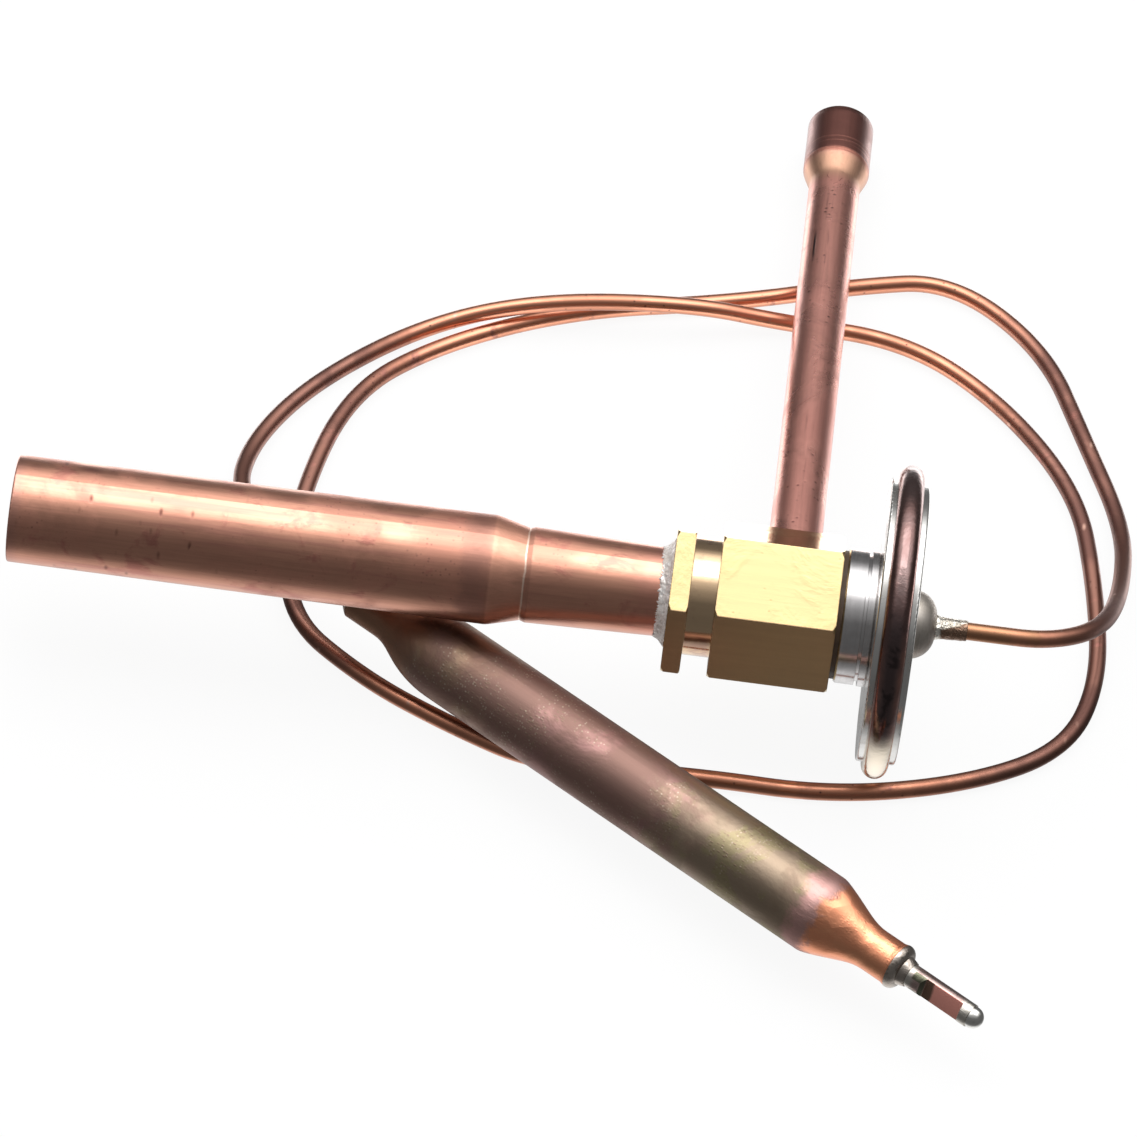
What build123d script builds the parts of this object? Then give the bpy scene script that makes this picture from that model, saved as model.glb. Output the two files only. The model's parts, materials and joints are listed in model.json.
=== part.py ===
from build123d import *
import os
from math import acos, asin, atan2, cos, degrees, hypot, pi, radians, sin, tan

os.makedirs("parts", exist_ok=True)

# Brass body. Stations run along the valve's axis from the middle of the main hex,
# positive towards the head and negative towards the outlet.
hex_across_flats = 25.4
main_hex_length = 21.4
neck_length = 4.8
neck_diameter = 21.0
flange_length = 3.4
hex_corner_turning = 0.55
nose_length = 5.6
nose_diameter = 19.0
nose_chamfer = 0.6

# Bores of the body
outlet_socket_depth = 4.0
chamber_diameter = 13.2
chamber_floor_station = -4.0
inlet_offset = 2.1
inlet_socket_depth = 5.5
inlet_bore_diameter = 7.0
inlet_bore_rim = 0.4
recess_diameter = 15.0
recess_depth = 2.7
fit_clearance = 0.05
cut_overrun = 1.0

# Outlet tube, copper
outlet_reach = 136.0
stub_diameter = 15.88
stub_bore_diameter = 12.9
outlet_mouth_diameter = 19.05
outlet_shoulder_diameter = 19.5
outlet_bore_diameter = 16.0
outlet_shoulder_station = -50.6
crease_station = -44.7
crease_diameter = 16.4
crease_half_width = 0.9
crease_bore_bead = 0.25
outlet_bore_run_out = 1.5
stub_shoulder_diameter = 17.0
outlet_mouth_rounding = 0.4
shoulder_rounding = 5.0

# Inlet tube, copper
inlet_tube_diameter = 9.525
inlet_tube_bore = 6.8
inlet_reach = 135.4
bell_diameter = 12.35
bell_bore_diameter = 9.65
bell_length = 12.5
bell_cone_length = 4.4
bell_rounding = 1.6
bell_bore_setback = 0.4
strainer_wall = 0.3
strainer_length = 16.0
strainer_lip = 0.8
strainer_foot_diameter = 5.6
strainer_top_diameter = 3.4

# Filler metal at the joints
outlet_braze_length = 2.3
outlet_braze_rise = 1.9
inlet_braze_length = 1.6
inlet_braze_rise = 1.4
fillet_hollow = 0.36
capillary_braze_length = 5.6
capillary_braze_base_diameter = 4.6
capillary_braze_tip_diameter = 3.6
capillary_braze_waist_station = 1.0
capillary_braze_waist_diameter = 3.9

# Collar and seal
gasket_thickness = 0.9
gasket_diameter = 22.8
collar_length = 5.7
collar_diameter = 24.0
collar_rear_diameter = 24.3
collar_groove_station = 3.6
collar_groove_width = 0.6
collar_groove_depth = 0.7
collar_shoulder_length = 0.9
collar_chamfer = 0.3

# Head
head_diameter = 56.0
head_thickness = 7.0
rim_reach = 2.8
cup_wall = 1.0
cup_corner_radius = 0.5
flange_overhang = 0.85
weld_width = 4.7
diaphragm_thickness = 0.3
corrugation_depth = 0.35
corrugation_count = 3
corrugation_plate_gap = 1.5
corrugation_rim_gap = 2.2
dome_diameter = 12.3
dome_height = 4.1
dome_mid_height = 2.3
dome_mid_diameter = 10.6
capillary_clearance = 0.05
capillary_setback = 0.5
capillary_straight = 12.2

# Valve train
valve_travel = 0.8
plate_diameter = 26.0
plate_thickness = 0.9
hub_diameter = 13.8
hub_travel_room = 0.1
rod_diameter = 1.6
rod_circle_radius = 5.3
rod_clearance = 0.05
seat_diameter = 7.2
seat_length = 2.2
port_diameter = 3.0
port_countersink = 0.8
pin_diameter = 3.8
pin_tip_diameter = 1.0
pin_clearance = 0.03
carrier_diameter = 12.6
carrier_thickness = 1.8
carrier_gap = 1.6
carrier_notch_diameter = 4.0
carrier_notch_count = 4
carrier_notch_angle = 45.0
retainer_thickness = 2.0
retainer_setback = 0.2
retainer_hole_diameter = 2.4
retainer_hole_count = 6
retainer_hole_circle_radius = 4.5
retainer_socket = 3.0
spring_wire = 0.8
spring_mean_diameter = 8.4
spring_turns = 3.0
spring_end_gap = 0.02

# Capillary and bulb
capillary_diameter = 3.175
floor_clearance = 0.02
bulb_diameter = 15.0
bulb_length = 88.0
bulb_wall = 0.9
bulb_yaw = -32.5
bulb_start_x = -59.7
bulb_start_y = -6.4
bulb_lift_gap = 0.7
near_neck_diameter = 7.9
near_cone_length = 11.5
near_cone_blend = 5.0
near_neck_length = 5.0
near_lip_diameter = 8.4
near_lip_length = 0.9
far_neck_diameter = 7.4
far_cone_length = 10.5
far_cone_blend = 22.0
far_neck_length = 6.5
cone_mid_run = 0.62
cone_mid_rise = 0.27
cone_foot_slope = 0.28
capillary_entry = 14.5
capillary_insertion = 1.5
solder_length = 3.0
solder_tip_diameter = 4.7
solder_ring_length = 1.6
solder_ring_end_diameter = 5.6
solder_mid_run = 0.9
solder_mid_diameter = 8.0
far_solder_length = 2.0
far_solder_tip_diameter = 3.575
far_solder_mid_run = 0.8
far_solder_mid_diameter = 6.2
stub_tube_diameter = 4.3
stub_tube_bore = 2.4
stub_bore_depth = 7.5
stub_tube_length = 16.1
stub_pinch_start = 4.3
stub_pinch_length = 10.6
stub_pinch_depth = 1.3
stub_pinch_turn = 72.0
stub_pinch_lead = 2.2
stub_pinch_rise = 0.6
stub_ball_diameter = 3.9
stub_ball_sink = 0.4
bend_share = 0.45

# The valve lies on the rim of its head and on the lip of the bell.
axis_height = head_diameter / 2
bell_radius = bell_diameter / 2
inlet_droop = degrees(asin(axis_height / hypot(inlet_reach, bell_radius)) - atan2(bell_radius, inlet_reach))
inlet_rise = Vector(0, cos(radians(inlet_droop)), -sin(radians(inlet_droop)))

# Stations worked out from the sizes above
hex_end = main_hex_length / 2
neck_station = -hex_end - neck_length
flange_face = neck_station - flange_length
nose_end = hex_end + nose_length
recess_floor = nose_end - recess_depth
outlet_socket_floor = flange_face + outlet_socket_depth
collar_start = hex_end + gasket_thickness
head_face = collar_start + collar_length
head_middle = head_face + head_thickness / 2
head_back = head_face + head_thickness
dome_top = head_back + dome_height
head_reach = dome_top + capillary_braze_length

# The origin is on the floor, below the middle of the box round the valve without its
# capillary and bulb.
valve_x = (outlet_reach - head_reach) / 2
bell_tip = inlet_reach * cos(radians(inlet_droop)) + bell_radius * sin(radians(inlet_droop))
valve_y = (axis_height - bell_tip) / 2

# Drawing planes. On each section plane X runs along the axis and Y is the radius.
valve_centre = Vector(valve_x, valve_y, axis_height)
valve_axis = Axis(valve_centre, (1, 0, 0))
valve_section = Plane(origin=valve_centre, x_dir=(1, 0, 0), z_dir=(0, -1, 0))
inlet_centre = valve_centre + Vector(inlet_offset, 0, 0)
inlet_axis = Axis(inlet_centre, inlet_rise)
inlet_section = Plane(origin=inlet_centre, x_dir=inlet_rise, z_dir=(1, 0, 0))


def across_valve(station):
    """Plane across the valve's axis, with Y pointing along the inlet tube."""
    return Plane(
        origin=valve_centre + Vector(station, 0, 0),
        x_dir=inlet_rise.cross(Vector(1, 0, 0)),
        z_dir=(1, 0, 0),
    )


def across_inlet(distance):
    """Plane across the inlet tube, so far from the valve's axis."""
    return Plane(origin=inlet_centre + inlet_rise * distance, x_dir=(1, 0, 0), z_dir=inlet_rise)


def keep(piece, name):
    """Label a finished piece and write it out."""
    piece.part.label = name
    export_step(piece.part, f"parts/{name}.step")


# Valve body: one brass hex bar, turned at the neck and the nose
hex_radius = hex_across_flats / 2
corner_radius = hex_radius / cos(radians(30))
turned_corner = corner_radius - hex_corner_turning
turning_run = hex_corner_turning
inlet_socket_radius = inlet_tube_diameter / 2 + fit_clearance

with BuildPart() as valve_body:
    with BuildSketch(across_valve(flange_face)):
        RegularPolygon(radius=hex_radius, side_count=6, major_radius=False)
    extrude(amount=hex_end - flange_face)
    with BuildSketch(valve_section):
        with BuildLine():
            Polyline(
                (flange_face, 0),
                (flange_face, turned_corner),
                (flange_face + turning_run, corner_radius),
                (neck_station - turning_run / 2, corner_radius),
                (neck_station, turned_corner),
                (neck_station, neck_diameter / 2),
                (-hex_end, neck_diameter / 2),
                (-hex_end, turned_corner),
                (-hex_end + turning_run, corner_radius),
                (hex_end - turning_run, corner_radius),
                (hex_end, turned_corner),
                (hex_end, 0),
                close=True,
            )
        make_face()
    revolve(axis=valve_axis, mode=Mode.INTERSECT)
    with BuildSketch(valve_section):
        with BuildLine():
            Polyline(
                (hex_end, 0),
                (hex_end, nose_diameter / 2),
                (nose_end - nose_chamfer, nose_diameter / 2),
                (nose_end, nose_diameter / 2 - nose_chamfer),
                (nose_end, 0),
                close=True,
            )
        make_face()
    revolve(axis=valve_axis)
    with BuildSketch(valve_section):
        with BuildLine():
            Polyline(
                (flange_face, 0),
                (flange_face, stub_diameter / 2 + fit_clearance),
                (outlet_socket_floor, stub_diameter / 2 + fit_clearance),
                (outlet_socket_floor, chamber_diameter / 2),
                (chamber_floor_station, chamber_diameter / 2),
                (chamber_floor_station, seat_diameter / 2),
                (chamber_floor_station + seat_length, seat_diameter / 2),
                (chamber_floor_station + seat_length, inlet_bore_diameter / 2 - inlet_bore_rim),
                (inlet_offset + inlet_bore_diameter / 2, inlet_bore_diameter / 2 - inlet_bore_rim),
                (inlet_offset + inlet_bore_diameter / 2, 0),
                close=True,
            )
        make_face()
    revolve(axis=valve_axis, mode=Mode.SUBTRACT)
    with BuildSketch(across_valve(recess_floor)):
        Circle(recess_diameter / 2)
    extrude(amount=recess_depth, mode=Mode.SUBTRACT)
    with BuildSketch(across_valve(chamber_floor_station)):
        with Locations((-rod_circle_radius, 0), (rod_circle_radius, 0)):
            Circle(rod_diameter / 2 + rod_clearance)
    extrude(amount=recess_floor - chamber_floor_station, mode=Mode.SUBTRACT)
    with BuildSketch(across_inlet(0)):
        Circle(inlet_bore_diameter / 2)
    extrude(amount=hex_radius, mode=Mode.SUBTRACT)
    with BuildSketch(across_inlet(hex_radius - inlet_socket_depth)):
        Circle(inlet_socket_radius)
    extrude(amount=inlet_socket_depth + cut_overrun, mode=Mode.SUBTRACT)
keep(valve_body, "valve_body")

# Outlet tube: the stub, the rolled crease that stops the mating tube, the cone and the socket
with BuildPart() as outlet_tube:
    with BuildSketch(valve_section):
        with BuildLine():
            Polyline(
                (-outlet_reach, outlet_bore_diameter / 2),
                (-outlet_reach, outlet_mouth_diameter / 2),
                (outlet_shoulder_station, outlet_shoulder_diameter / 2),
                (crease_station, crease_diameter / 2),
                (crease_station + crease_half_width, stub_shoulder_diameter / 2),
                (flange_face - outlet_braze_length, stub_diameter / 2),
                (outlet_socket_floor - fit_clearance, stub_diameter / 2),
                (outlet_socket_floor - fit_clearance, stub_bore_diameter / 2),
                (crease_station + crease_half_width, stub_bore_diameter / 2),
                (crease_station, stub_bore_diameter / 2 - crease_bore_bead),
                (crease_station - crease_half_width, stub_bore_diameter / 2),
                (outlet_shoulder_station - outlet_bore_run_out, outlet_bore_diameter / 2),
                close=True,
            )
        make_face()
        mouth = Vector(-outlet_reach, outlet_mouth_diameter / 2)
        fillet(vertices().sort_by_distance(mouth)[0], outlet_mouth_rounding)
        shoulder = Vector(outlet_shoulder_station, outlet_shoulder_diameter / 2)
        fillet(vertices().sort_by_distance(shoulder)[0], shoulder_rounding)
    revolve(axis=valve_axis)
keep(outlet_tube, "outlet_tube")

# Inlet tube with its bell
bell_start = inlet_reach - bell_length
cone_start = bell_start - bell_cone_length
inlet_tube_foot = hex_radius - inlet_socket_depth + fit_clearance
with BuildPart() as inlet_tube:
    with BuildSketch(inlet_section):
        with BuildLine():
            Polyline(
                (inlet_tube_foot, inlet_tube_bore / 2),
                (inlet_tube_foot, inlet_tube_diameter / 2),
                (cone_start, inlet_tube_diameter / 2),
                (bell_start, bell_diameter / 2),
                (inlet_reach, bell_diameter / 2),
                (inlet_reach, bell_bore_diameter / 2),
                (bell_start + bell_bore_setback, bell_bore_diameter / 2),
                (cone_start + bell_bore_setback, inlet_tube_bore / 2),
                close=True,
            )
        make_face()
        cone_foot = Vector(cone_start, inlet_tube_diameter / 2)
        fillet(vertices().sort_by_distance(cone_foot)[0], bell_rounding)
        cone_head = Vector(bell_start, bell_diameter / 2)
        fillet(vertices().sort_by_distance(cone_head)[0], bell_rounding)
    revolve(axis=inlet_axis)
keep(inlet_tube, "inlet_tube")

# Filler at the foot of each tube: a ring with a hollow outer face
with BuildPart() as outlet_braze:
    braze_root = stub_diameter / 2
    braze_crest = braze_root + outlet_braze_rise
    braze_end = flange_face - outlet_braze_length
    braze_middle = (
        flange_face - outlet_braze_length * fillet_hollow,
        braze_root + outlet_braze_rise * fillet_hollow,
    )
    with BuildSketch(valve_section):
        with BuildLine():
            Line((braze_end, braze_root), (flange_face, braze_root))
            Line((flange_face, braze_root), (flange_face, braze_crest))
            ThreePointArc((flange_face, braze_crest), braze_middle, (braze_end, braze_root))
        make_face()
    revolve(axis=valve_axis)
keep(outlet_braze, "outlet_braze")

with BuildPart() as inlet_braze:
    braze_root = inlet_tube_diameter / 2
    braze_crest = braze_root + inlet_braze_rise
    braze_end = hex_radius + inlet_braze_length
    braze_middle = (
        hex_radius + inlet_braze_length * fillet_hollow,
        braze_root + inlet_braze_rise * fillet_hollow,
    )
    with BuildSketch(inlet_section):
        with BuildLine():
            Line((braze_end, braze_root), (hex_radius, braze_root))
            Line((hex_radius, braze_root), (hex_radius, braze_crest))
            ThreePointArc((hex_radius, braze_crest), braze_middle, (braze_end, braze_root))
        make_face()
    revolve(axis=inlet_axis)
keep(inlet_braze, "inlet_braze")

# Strainer: a screen thimble inside the inlet tube, held by its lip on the floor of the socket
strainer_top = inlet_tube_foot + strainer_length
strainer_shoulder = inlet_tube_foot + 2 * strainer_lip
with BuildPart() as inlet_strainer:
    with BuildSketch(inlet_section):
        with BuildLine():
            Polyline(
                (inlet_tube_foot, inlet_tube_bore / 2 - strainer_wall),
                (inlet_tube_foot, inlet_tube_bore / 2),
                (inlet_tube_foot + strainer_lip, inlet_tube_bore / 2),
                (strainer_shoulder, strainer_foot_diameter / 2),
                (strainer_top, strainer_top_diameter / 2),
                (strainer_top, 0),
                (strainer_top - strainer_wall, 0),
                (strainer_top - strainer_wall, strainer_top_diameter / 2 - strainer_wall),
                (strainer_shoulder, strainer_foot_diameter / 2 - strainer_wall),
                close=True,
            )
        make_face()
    revolve(axis=inlet_axis)
keep(inlet_strainer, "inlet_strainer")

# Seal ring between the hex and the collar
nose_fit_radius = nose_diameter / 2 + fit_clearance
with BuildPart() as collar_gasket:
    with BuildSketch(across_valve(hex_end)):
        Circle(gasket_diameter / 2)
        Circle(nose_fit_radius, mode=Mode.SUBTRACT)
    extrude(amount=gasket_thickness)
keep(collar_gasket, "collar_gasket")

# Turned collar that screws over the nose, with its one groove and an inner shoulder
groove_start = collar_start + collar_groove_station
groove_end = groove_start + collar_groove_width
groove_radius = collar_diameter / 2 - collar_groove_depth
inner_shoulder = head_face - collar_shoulder_length
with BuildPart() as head_collar:
    with BuildSketch(valve_section):
        with BuildLine():
            Polyline(
                (collar_start, nose_fit_radius),
                (collar_start, collar_diameter / 2 - collar_chamfer),
                (collar_start + collar_chamfer, collar_diameter / 2),
                (groove_start, collar_diameter / 2),
                (groove_start, groove_radius),
                (groove_end, groove_radius),
                (groove_end, collar_rear_diameter / 2),
                (head_face - collar_chamfer, collar_rear_diameter / 2),
                (head_face, collar_rear_diameter / 2 - collar_chamfer),
                (head_face, recess_diameter / 2),
                (inner_shoulder, recess_diameter / 2),
                (inner_shoulder, nose_fit_radius),
                close=True,
            )
        make_face()
    revolve(axis=valve_axis)
keep(head_collar, "head_collar")

# Head: two stamped cups, the diaphragm clamped between them and the weld round their flanges.
# A cup is drawn with its face at face_station and its flange against the diaphragm.
face_radius = axis_height - rim_reach
flange_radius = face_radius + flange_overhang


def cup_outline(face_station, towards_middle, hole_radius):
    """Corners of a stamped cup's section; towards_middle is 1 or -1."""
    inner_face = face_station + towards_middle * cup_wall
    clamp_face = head_middle - towards_middle * diaphragm_thickness / 2
    flange_back = clamp_face - towards_middle * cup_wall
    return [
        (face_station, hole_radius),
        (face_station, face_radius),
        (flange_back, face_radius),
        (flange_back, flange_radius),
        (clamp_face, flange_radius),
        (clamp_face, face_radius - cup_wall),
        (inner_face, face_radius - cup_wall),
        (inner_face, hole_radius),
    ]


with BuildPart() as lower_cup:
    with BuildSketch(valve_section):
        with BuildLine():
            Polyline(*cup_outline(head_face, 1, recess_diameter / 2), close=True)
        make_face()
        fillet(vertices().sort_by_distance(Vector(head_face, face_radius))[0], cup_corner_radius)
    revolve(axis=valve_axis)
keep(lower_cup, "lower_cup")

capillary_hole_radius = capillary_diameter / 2 + capillary_clearance
with BuildPart() as upper_cup:
    with BuildSketch(valve_section):
        with BuildLine():
            Polyline(*cup_outline(head_back, -1, capillary_hole_radius), close=True)
        make_face()
        fillet(vertices().sort_by_distance(Vector(head_back, face_radius))[0], cup_corner_radius)
    revolve(axis=valve_axis)
keep(upper_cup, "upper_cup")

# Weld bead: half round outside, notched inside for the two flanges and the diaphragm
stack_half = cup_wall + diaphragm_thickness / 2
weld_half = weld_width / 2
weld_shoulder_radius = axis_height - weld_half
with BuildPart() as rim_weld:
    with BuildSketch(valve_section):
        with BuildLine():
            Polyline(
                (head_middle - weld_half, weld_shoulder_radius),
                (head_middle - weld_half, face_radius),
                (head_middle - stack_half, face_radius),
                (head_middle - stack_half, flange_radius),
                (head_middle + stack_half, flange_radius),
                (head_middle + stack_half, face_radius),
                (head_middle + weld_half, face_radius),
                (head_middle + weld_half, weld_shoulder_radius),
            )
            ThreePointArc(
                (head_middle + weld_half, weld_shoulder_radius),
                (head_middle, axis_height),
                (head_middle - weld_half, weld_shoulder_radius),
            )
        make_face()
    revolve(axis=valve_axis)
keep(rim_weld, "rim_weld")

# Diaphragm: flat where it bears on the plate and where it is clamped, corrugated between.
# Each face is one line of arcs, and the two faces are the sheet's thickness apart.
corrugation_inner_radius = plate_diameter / 2 + corrugation_plate_gap
corrugation_outer_radius = face_radius - corrugation_rim_gap
corrugation_pitch = (corrugation_outer_radius - corrugation_inner_radius) / corrugation_count


def corrugated_face(station):
    """Meridian of one face of the sheet, from the middle out to the rim."""
    Line((station, 0), (station, corrugation_inner_radius))
    for wave in range(corrugation_count):
        start = corrugation_inner_radius + wave * corrugation_pitch
        half = start + corrugation_pitch / 2
        ThreePointArc((station, start), (station + corrugation_depth, (start + half) / 2), (station, half))
        ThreePointArc(
            (station, half),
            (station - corrugation_depth, half + corrugation_pitch / 4),
            (station, start + corrugation_pitch),
        )
    Line((station, corrugation_outer_radius), (station, flange_radius))


with BuildPart() as diaphragm:
    sheet_front = head_middle - diaphragm_thickness / 2
    sheet_back = head_middle + diaphragm_thickness / 2
    with BuildSketch(valve_section):
        with BuildLine():
            corrugated_face(sheet_front)
            corrugated_face(sheet_back)
            Line((sheet_front, 0), (sheet_back, 0))
            Line((sheet_front, flange_radius), (sheet_back, flange_radius))
        make_face()
    revolve(axis=valve_axis)
keep(diaphragm, "diaphragm")

# Dome on the back of the head, with a flat where the capillary leaves it
capillary_start = head_back + capillary_setback
dome_radius = dome_diameter / 2
dome_flat_radius = capillary_braze_base_diameter / 2
with BuildPart() as dome_boss:
    with BuildSketch(valve_section):
        with BuildLine():
            Polyline(
                (dome_top, dome_flat_radius),
                (dome_top, capillary_hole_radius),
                (head_back, capillary_hole_radius),
                (head_back, dome_radius),
            )
            ThreePointArc(
                (head_back, dome_radius),
                (head_back + dome_mid_height, dome_mid_diameter / 2),
                (dome_top, dome_flat_radius),
            )
        make_face()
    revolve(axis=valve_axis)
keep(dome_boss, "dome_boss")

# Filler sleeve that tapers from the dome on to the capillary
with BuildPart() as capillary_braze:
    sleeve_tip = (head_reach, capillary_braze_tip_diameter / 2)
    sleeve_waist = (dome_top + capillary_braze_waist_station, capillary_braze_waist_diameter / 2)
    with BuildSketch(valve_section):
        with BuildLine():
            Polyline(
                sleeve_tip,
                (head_reach, capillary_hole_radius),
                (dome_top, capillary_hole_radius),
                (dome_top, dome_flat_radius),
                sleeve_waist,
                close=True,
            )
        make_face()
    revolve(axis=valve_axis)
keep(capillary_braze, "capillary_braze")

# Seat pressed into the body, with a countersink on the inlet's side
seat_end = chamber_floor_station + seat_length
port_radius = port_diameter / 2
with BuildPart() as orifice_seat:
    with BuildSketch(valve_section):
        with BuildLine():
            Polyline(
                (chamber_floor_station, port_radius),
                (chamber_floor_station, seat_diameter / 2),
                (seat_end, seat_diameter / 2),
                (seat_end, port_radius + port_countersink),
                (seat_end - port_countersink, port_radius),
                close=True,
            )
        make_face()
    revolve(axis=valve_axis)
keep(orifice_seat, "orifice_seat")

# Pin carrier: a disc clear of the chamber's wall, with flow notches between the rods' ends
carrier_front = chamber_floor_station - carrier_gap
carrier_rear = carrier_front - carrier_thickness
with BuildPart() as pin_carrier:
    with BuildSketch(across_valve(carrier_rear)):
        Circle(carrier_diameter / 2)
        with PolarLocations(carrier_diameter / 2, carrier_notch_count, start_angle=carrier_notch_angle):
            Circle(carrier_notch_diameter / 2, mode=Mode.SUBTRACT)
    extrude(amount=carrier_thickness)
keep(pin_carrier, "pin_carrier")

# Valve pin: a shank and a 90 degree cone that stops just short of the port's edge
pin_radius = pin_diameter / 2
pin_tip_radius = pin_tip_diameter / 2
cone_base_station = chamber_floor_station - (pin_radius - port_radius + pin_clearance)
with BuildPart() as valve_pin:
    with BuildSketch(valve_section):
        with BuildLine():
            Polyline(
                (carrier_front, 0),
                (carrier_front, pin_radius),
                (cone_base_station, pin_radius),
                (cone_base_station + pin_radius - pin_tip_radius, pin_tip_radius),
                (cone_base_station + pin_radius - pin_tip_radius, 0),
                close=True,
            )
        make_face()
    revolve(axis=valve_axis)
keep(valve_pin, "valve_pin")

# Spring retainer: screwed into the chamber, with a hex socket and a ring of flow holes
retainer_rear = outlet_socket_floor + retainer_setback
retainer_front = retainer_rear + retainer_thickness
with BuildPart() as spring_retainer:
    with BuildSketch(across_valve(retainer_rear)):
        Circle(chamber_diameter / 2 - fit_clearance)
        with PolarLocations(retainer_hole_circle_radius, retainer_hole_count):
            Circle(retainer_hole_diameter / 2, mode=Mode.SUBTRACT)
        RegularPolygon(radius=retainer_socket / 2, side_count=6, major_radius=False, mode=Mode.SUBTRACT)
    extrude(amount=retainer_thickness)
keep(spring_retainer, "spring_retainer")

# Spring from the retainer to the carrier
spring_start = retainer_front + spring_wire / 2 + spring_end_gap
spring_height = carrier_rear - spring_wire / 2 - spring_end_gap - spring_start
with BuildPart() as superheat_spring:
    with BuildLine() as spring_line:
        Helix(
            pitch=spring_height / spring_turns,
            height=spring_height,
            radius=spring_mean_diameter / 2,
            center=valve_centre + Vector(spring_start, 0, 0),
            direction=(1, 0, 0),
        )
    with BuildSketch(Plane(origin=spring_line.line @ 0, z_dir=spring_line.line % 0)):
        Circle(spring_wire / 2)
    sweep(is_frenet=True)
keep(superheat_spring, "superheat_spring")

# Buffer plate under the diaphragm, with the hub that bears on the two rods
plate_back = head_middle - diaphragm_thickness / 2
plate_front = plate_back - plate_thickness
hub_front = recess_floor + valve_travel + hub_travel_room
with BuildPart() as buffer_plate:
    with BuildSketch(valve_section):
        with BuildLine():
            Polyline(
                (hub_front, 0),
                (hub_front, hub_diameter / 2),
                (plate_front, hub_diameter / 2),
                (plate_front, plate_diameter / 2),
                (plate_back, plate_diameter / 2),
                (plate_back, 0),
                close=True,
            )
        make_face()
    revolve(axis=valve_axis)
keep(buffer_plate, "buffer_plate")

# Two push rods, one on each side of the inlet bore
for number, side in enumerate((-1, 1), start=1):
    with BuildPart() as push_rod:
        with BuildSketch(across_valve(carrier_front)):
            with Locations((side * rod_circle_radius, 0)):
                Circle(rod_diameter / 2)
        extrude(amount=hub_front - carrier_front)
    keep(push_rod, f"push_rod_{number}")

# Bulb: its own section plane, with X along the bulb from its far shoulder
bulb_height = floor_clearance + capillary_diameter + bulb_lift_gap + bulb_diameter / 2
bulb_direction = Vector(cos(radians(bulb_yaw)), sin(radians(bulb_yaw)), 0)
bulb_start = Vector(valve_x + bulb_start_x, valve_y + bulb_start_y, bulb_height)
bulb_axis = Axis(bulb_start, bulb_direction)
bulb_section = Plane(
    origin=bulb_start,
    x_dir=bulb_direction,
    z_dir=(bulb_direction.Y, -bulb_direction.X, 0),
)


def across_bulb(distance):
    """Plane across the bulb, so far from its far shoulder."""
    return Plane(
        origin=bulb_start + bulb_direction * distance,
        x_dir=(bulb_direction.Y, -bulb_direction.X, 0),
        z_dir=bulb_direction,
    )


bulb_radius = bulb_diameter / 2
near_neck_start = bulb_length + near_cone_length
near_lip_start = near_neck_start + near_neck_length - near_lip_length
near_end = near_neck_start + near_neck_length
far_neck_start = -far_cone_length
far_end = far_neck_start - far_neck_length
stub_fit_radius = stub_tube_diameter / 2 + capillary_clearance
near_neck_radius = near_neck_diameter / 2
far_neck_radius = far_neck_diameter / 2
far_bore_radius = capillary_hole_radius
near_cone_middle = (
    bulb_length + near_cone_length * cone_mid_run,
    near_neck_radius + (bulb_radius - near_neck_radius) * cone_mid_rise,
)
far_cone_middle = (
    -far_cone_length * cone_mid_run,
    far_neck_radius + (bulb_radius - far_neck_radius) * cone_mid_rise,
)

with BuildPart() as bulb_shell:
    with BuildSketch(bulb_section):
        with BuildLine():
            Polyline(
                (far_neck_start, far_neck_radius),
                (far_end, far_neck_radius),
                (far_end, far_bore_radius),
                (far_neck_start, far_bore_radius),
            )
            Line((far_neck_start, far_bore_radius), (0, bulb_radius - bulb_wall))
            Line((0, bulb_radius - bulb_wall), (bulb_length, bulb_radius - bulb_wall))
            Line((bulb_length, bulb_radius - bulb_wall), (near_neck_start, stub_fit_radius))
            Polyline(
                (near_neck_start, stub_fit_radius),
                (near_end, stub_fit_radius),
                (near_end, near_lip_diameter / 2),
                (near_lip_start, near_neck_radius),
                (near_neck_start, near_neck_radius),
            )
            Spline(
                (near_neck_start, near_neck_radius),
                near_cone_middle,
                (bulb_length, bulb_radius),
                tangents=[(-1, 0), (-1, cone_foot_slope)],
            )
            Line((bulb_length, bulb_radius), (0, bulb_radius))
            Spline(
                (0, bulb_radius),
                far_cone_middle,
                (far_neck_start, far_neck_radius),
                tangents=[(-1, -cone_foot_slope), (-1, 0)],
            )
        make_face()
        fillet(vertices().sort_by_distance(Vector(0, bulb_radius))[0], far_cone_blend)
        fillet(vertices().sort_by_distance(Vector(bulb_length, bulb_radius))[0], near_cone_blend)
    revolve(axis=bulb_axis)
keep(bulb_shell, "bulb_shell")

# Solder at the two necks of the bulb
with BuildPart() as bulb_neck_solder:
    solder_tip = (far_end - far_solder_length, far_solder_tip_diameter / 2)
    solder_middle = (far_end - far_solder_mid_run, far_solder_mid_diameter / 2)
    with BuildSketch(bulb_section):
        with BuildLine():
            Polyline(
                solder_tip,
                (far_end - far_solder_length, far_bore_radius),
                (far_end, far_bore_radius),
                (far_end, far_neck_radius),
            )
            ThreePointArc((far_end, far_neck_radius), solder_middle, solder_tip)
        make_face()
    revolve(axis=bulb_axis)
keep(bulb_neck_solder, "bulb_neck_solder")

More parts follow.
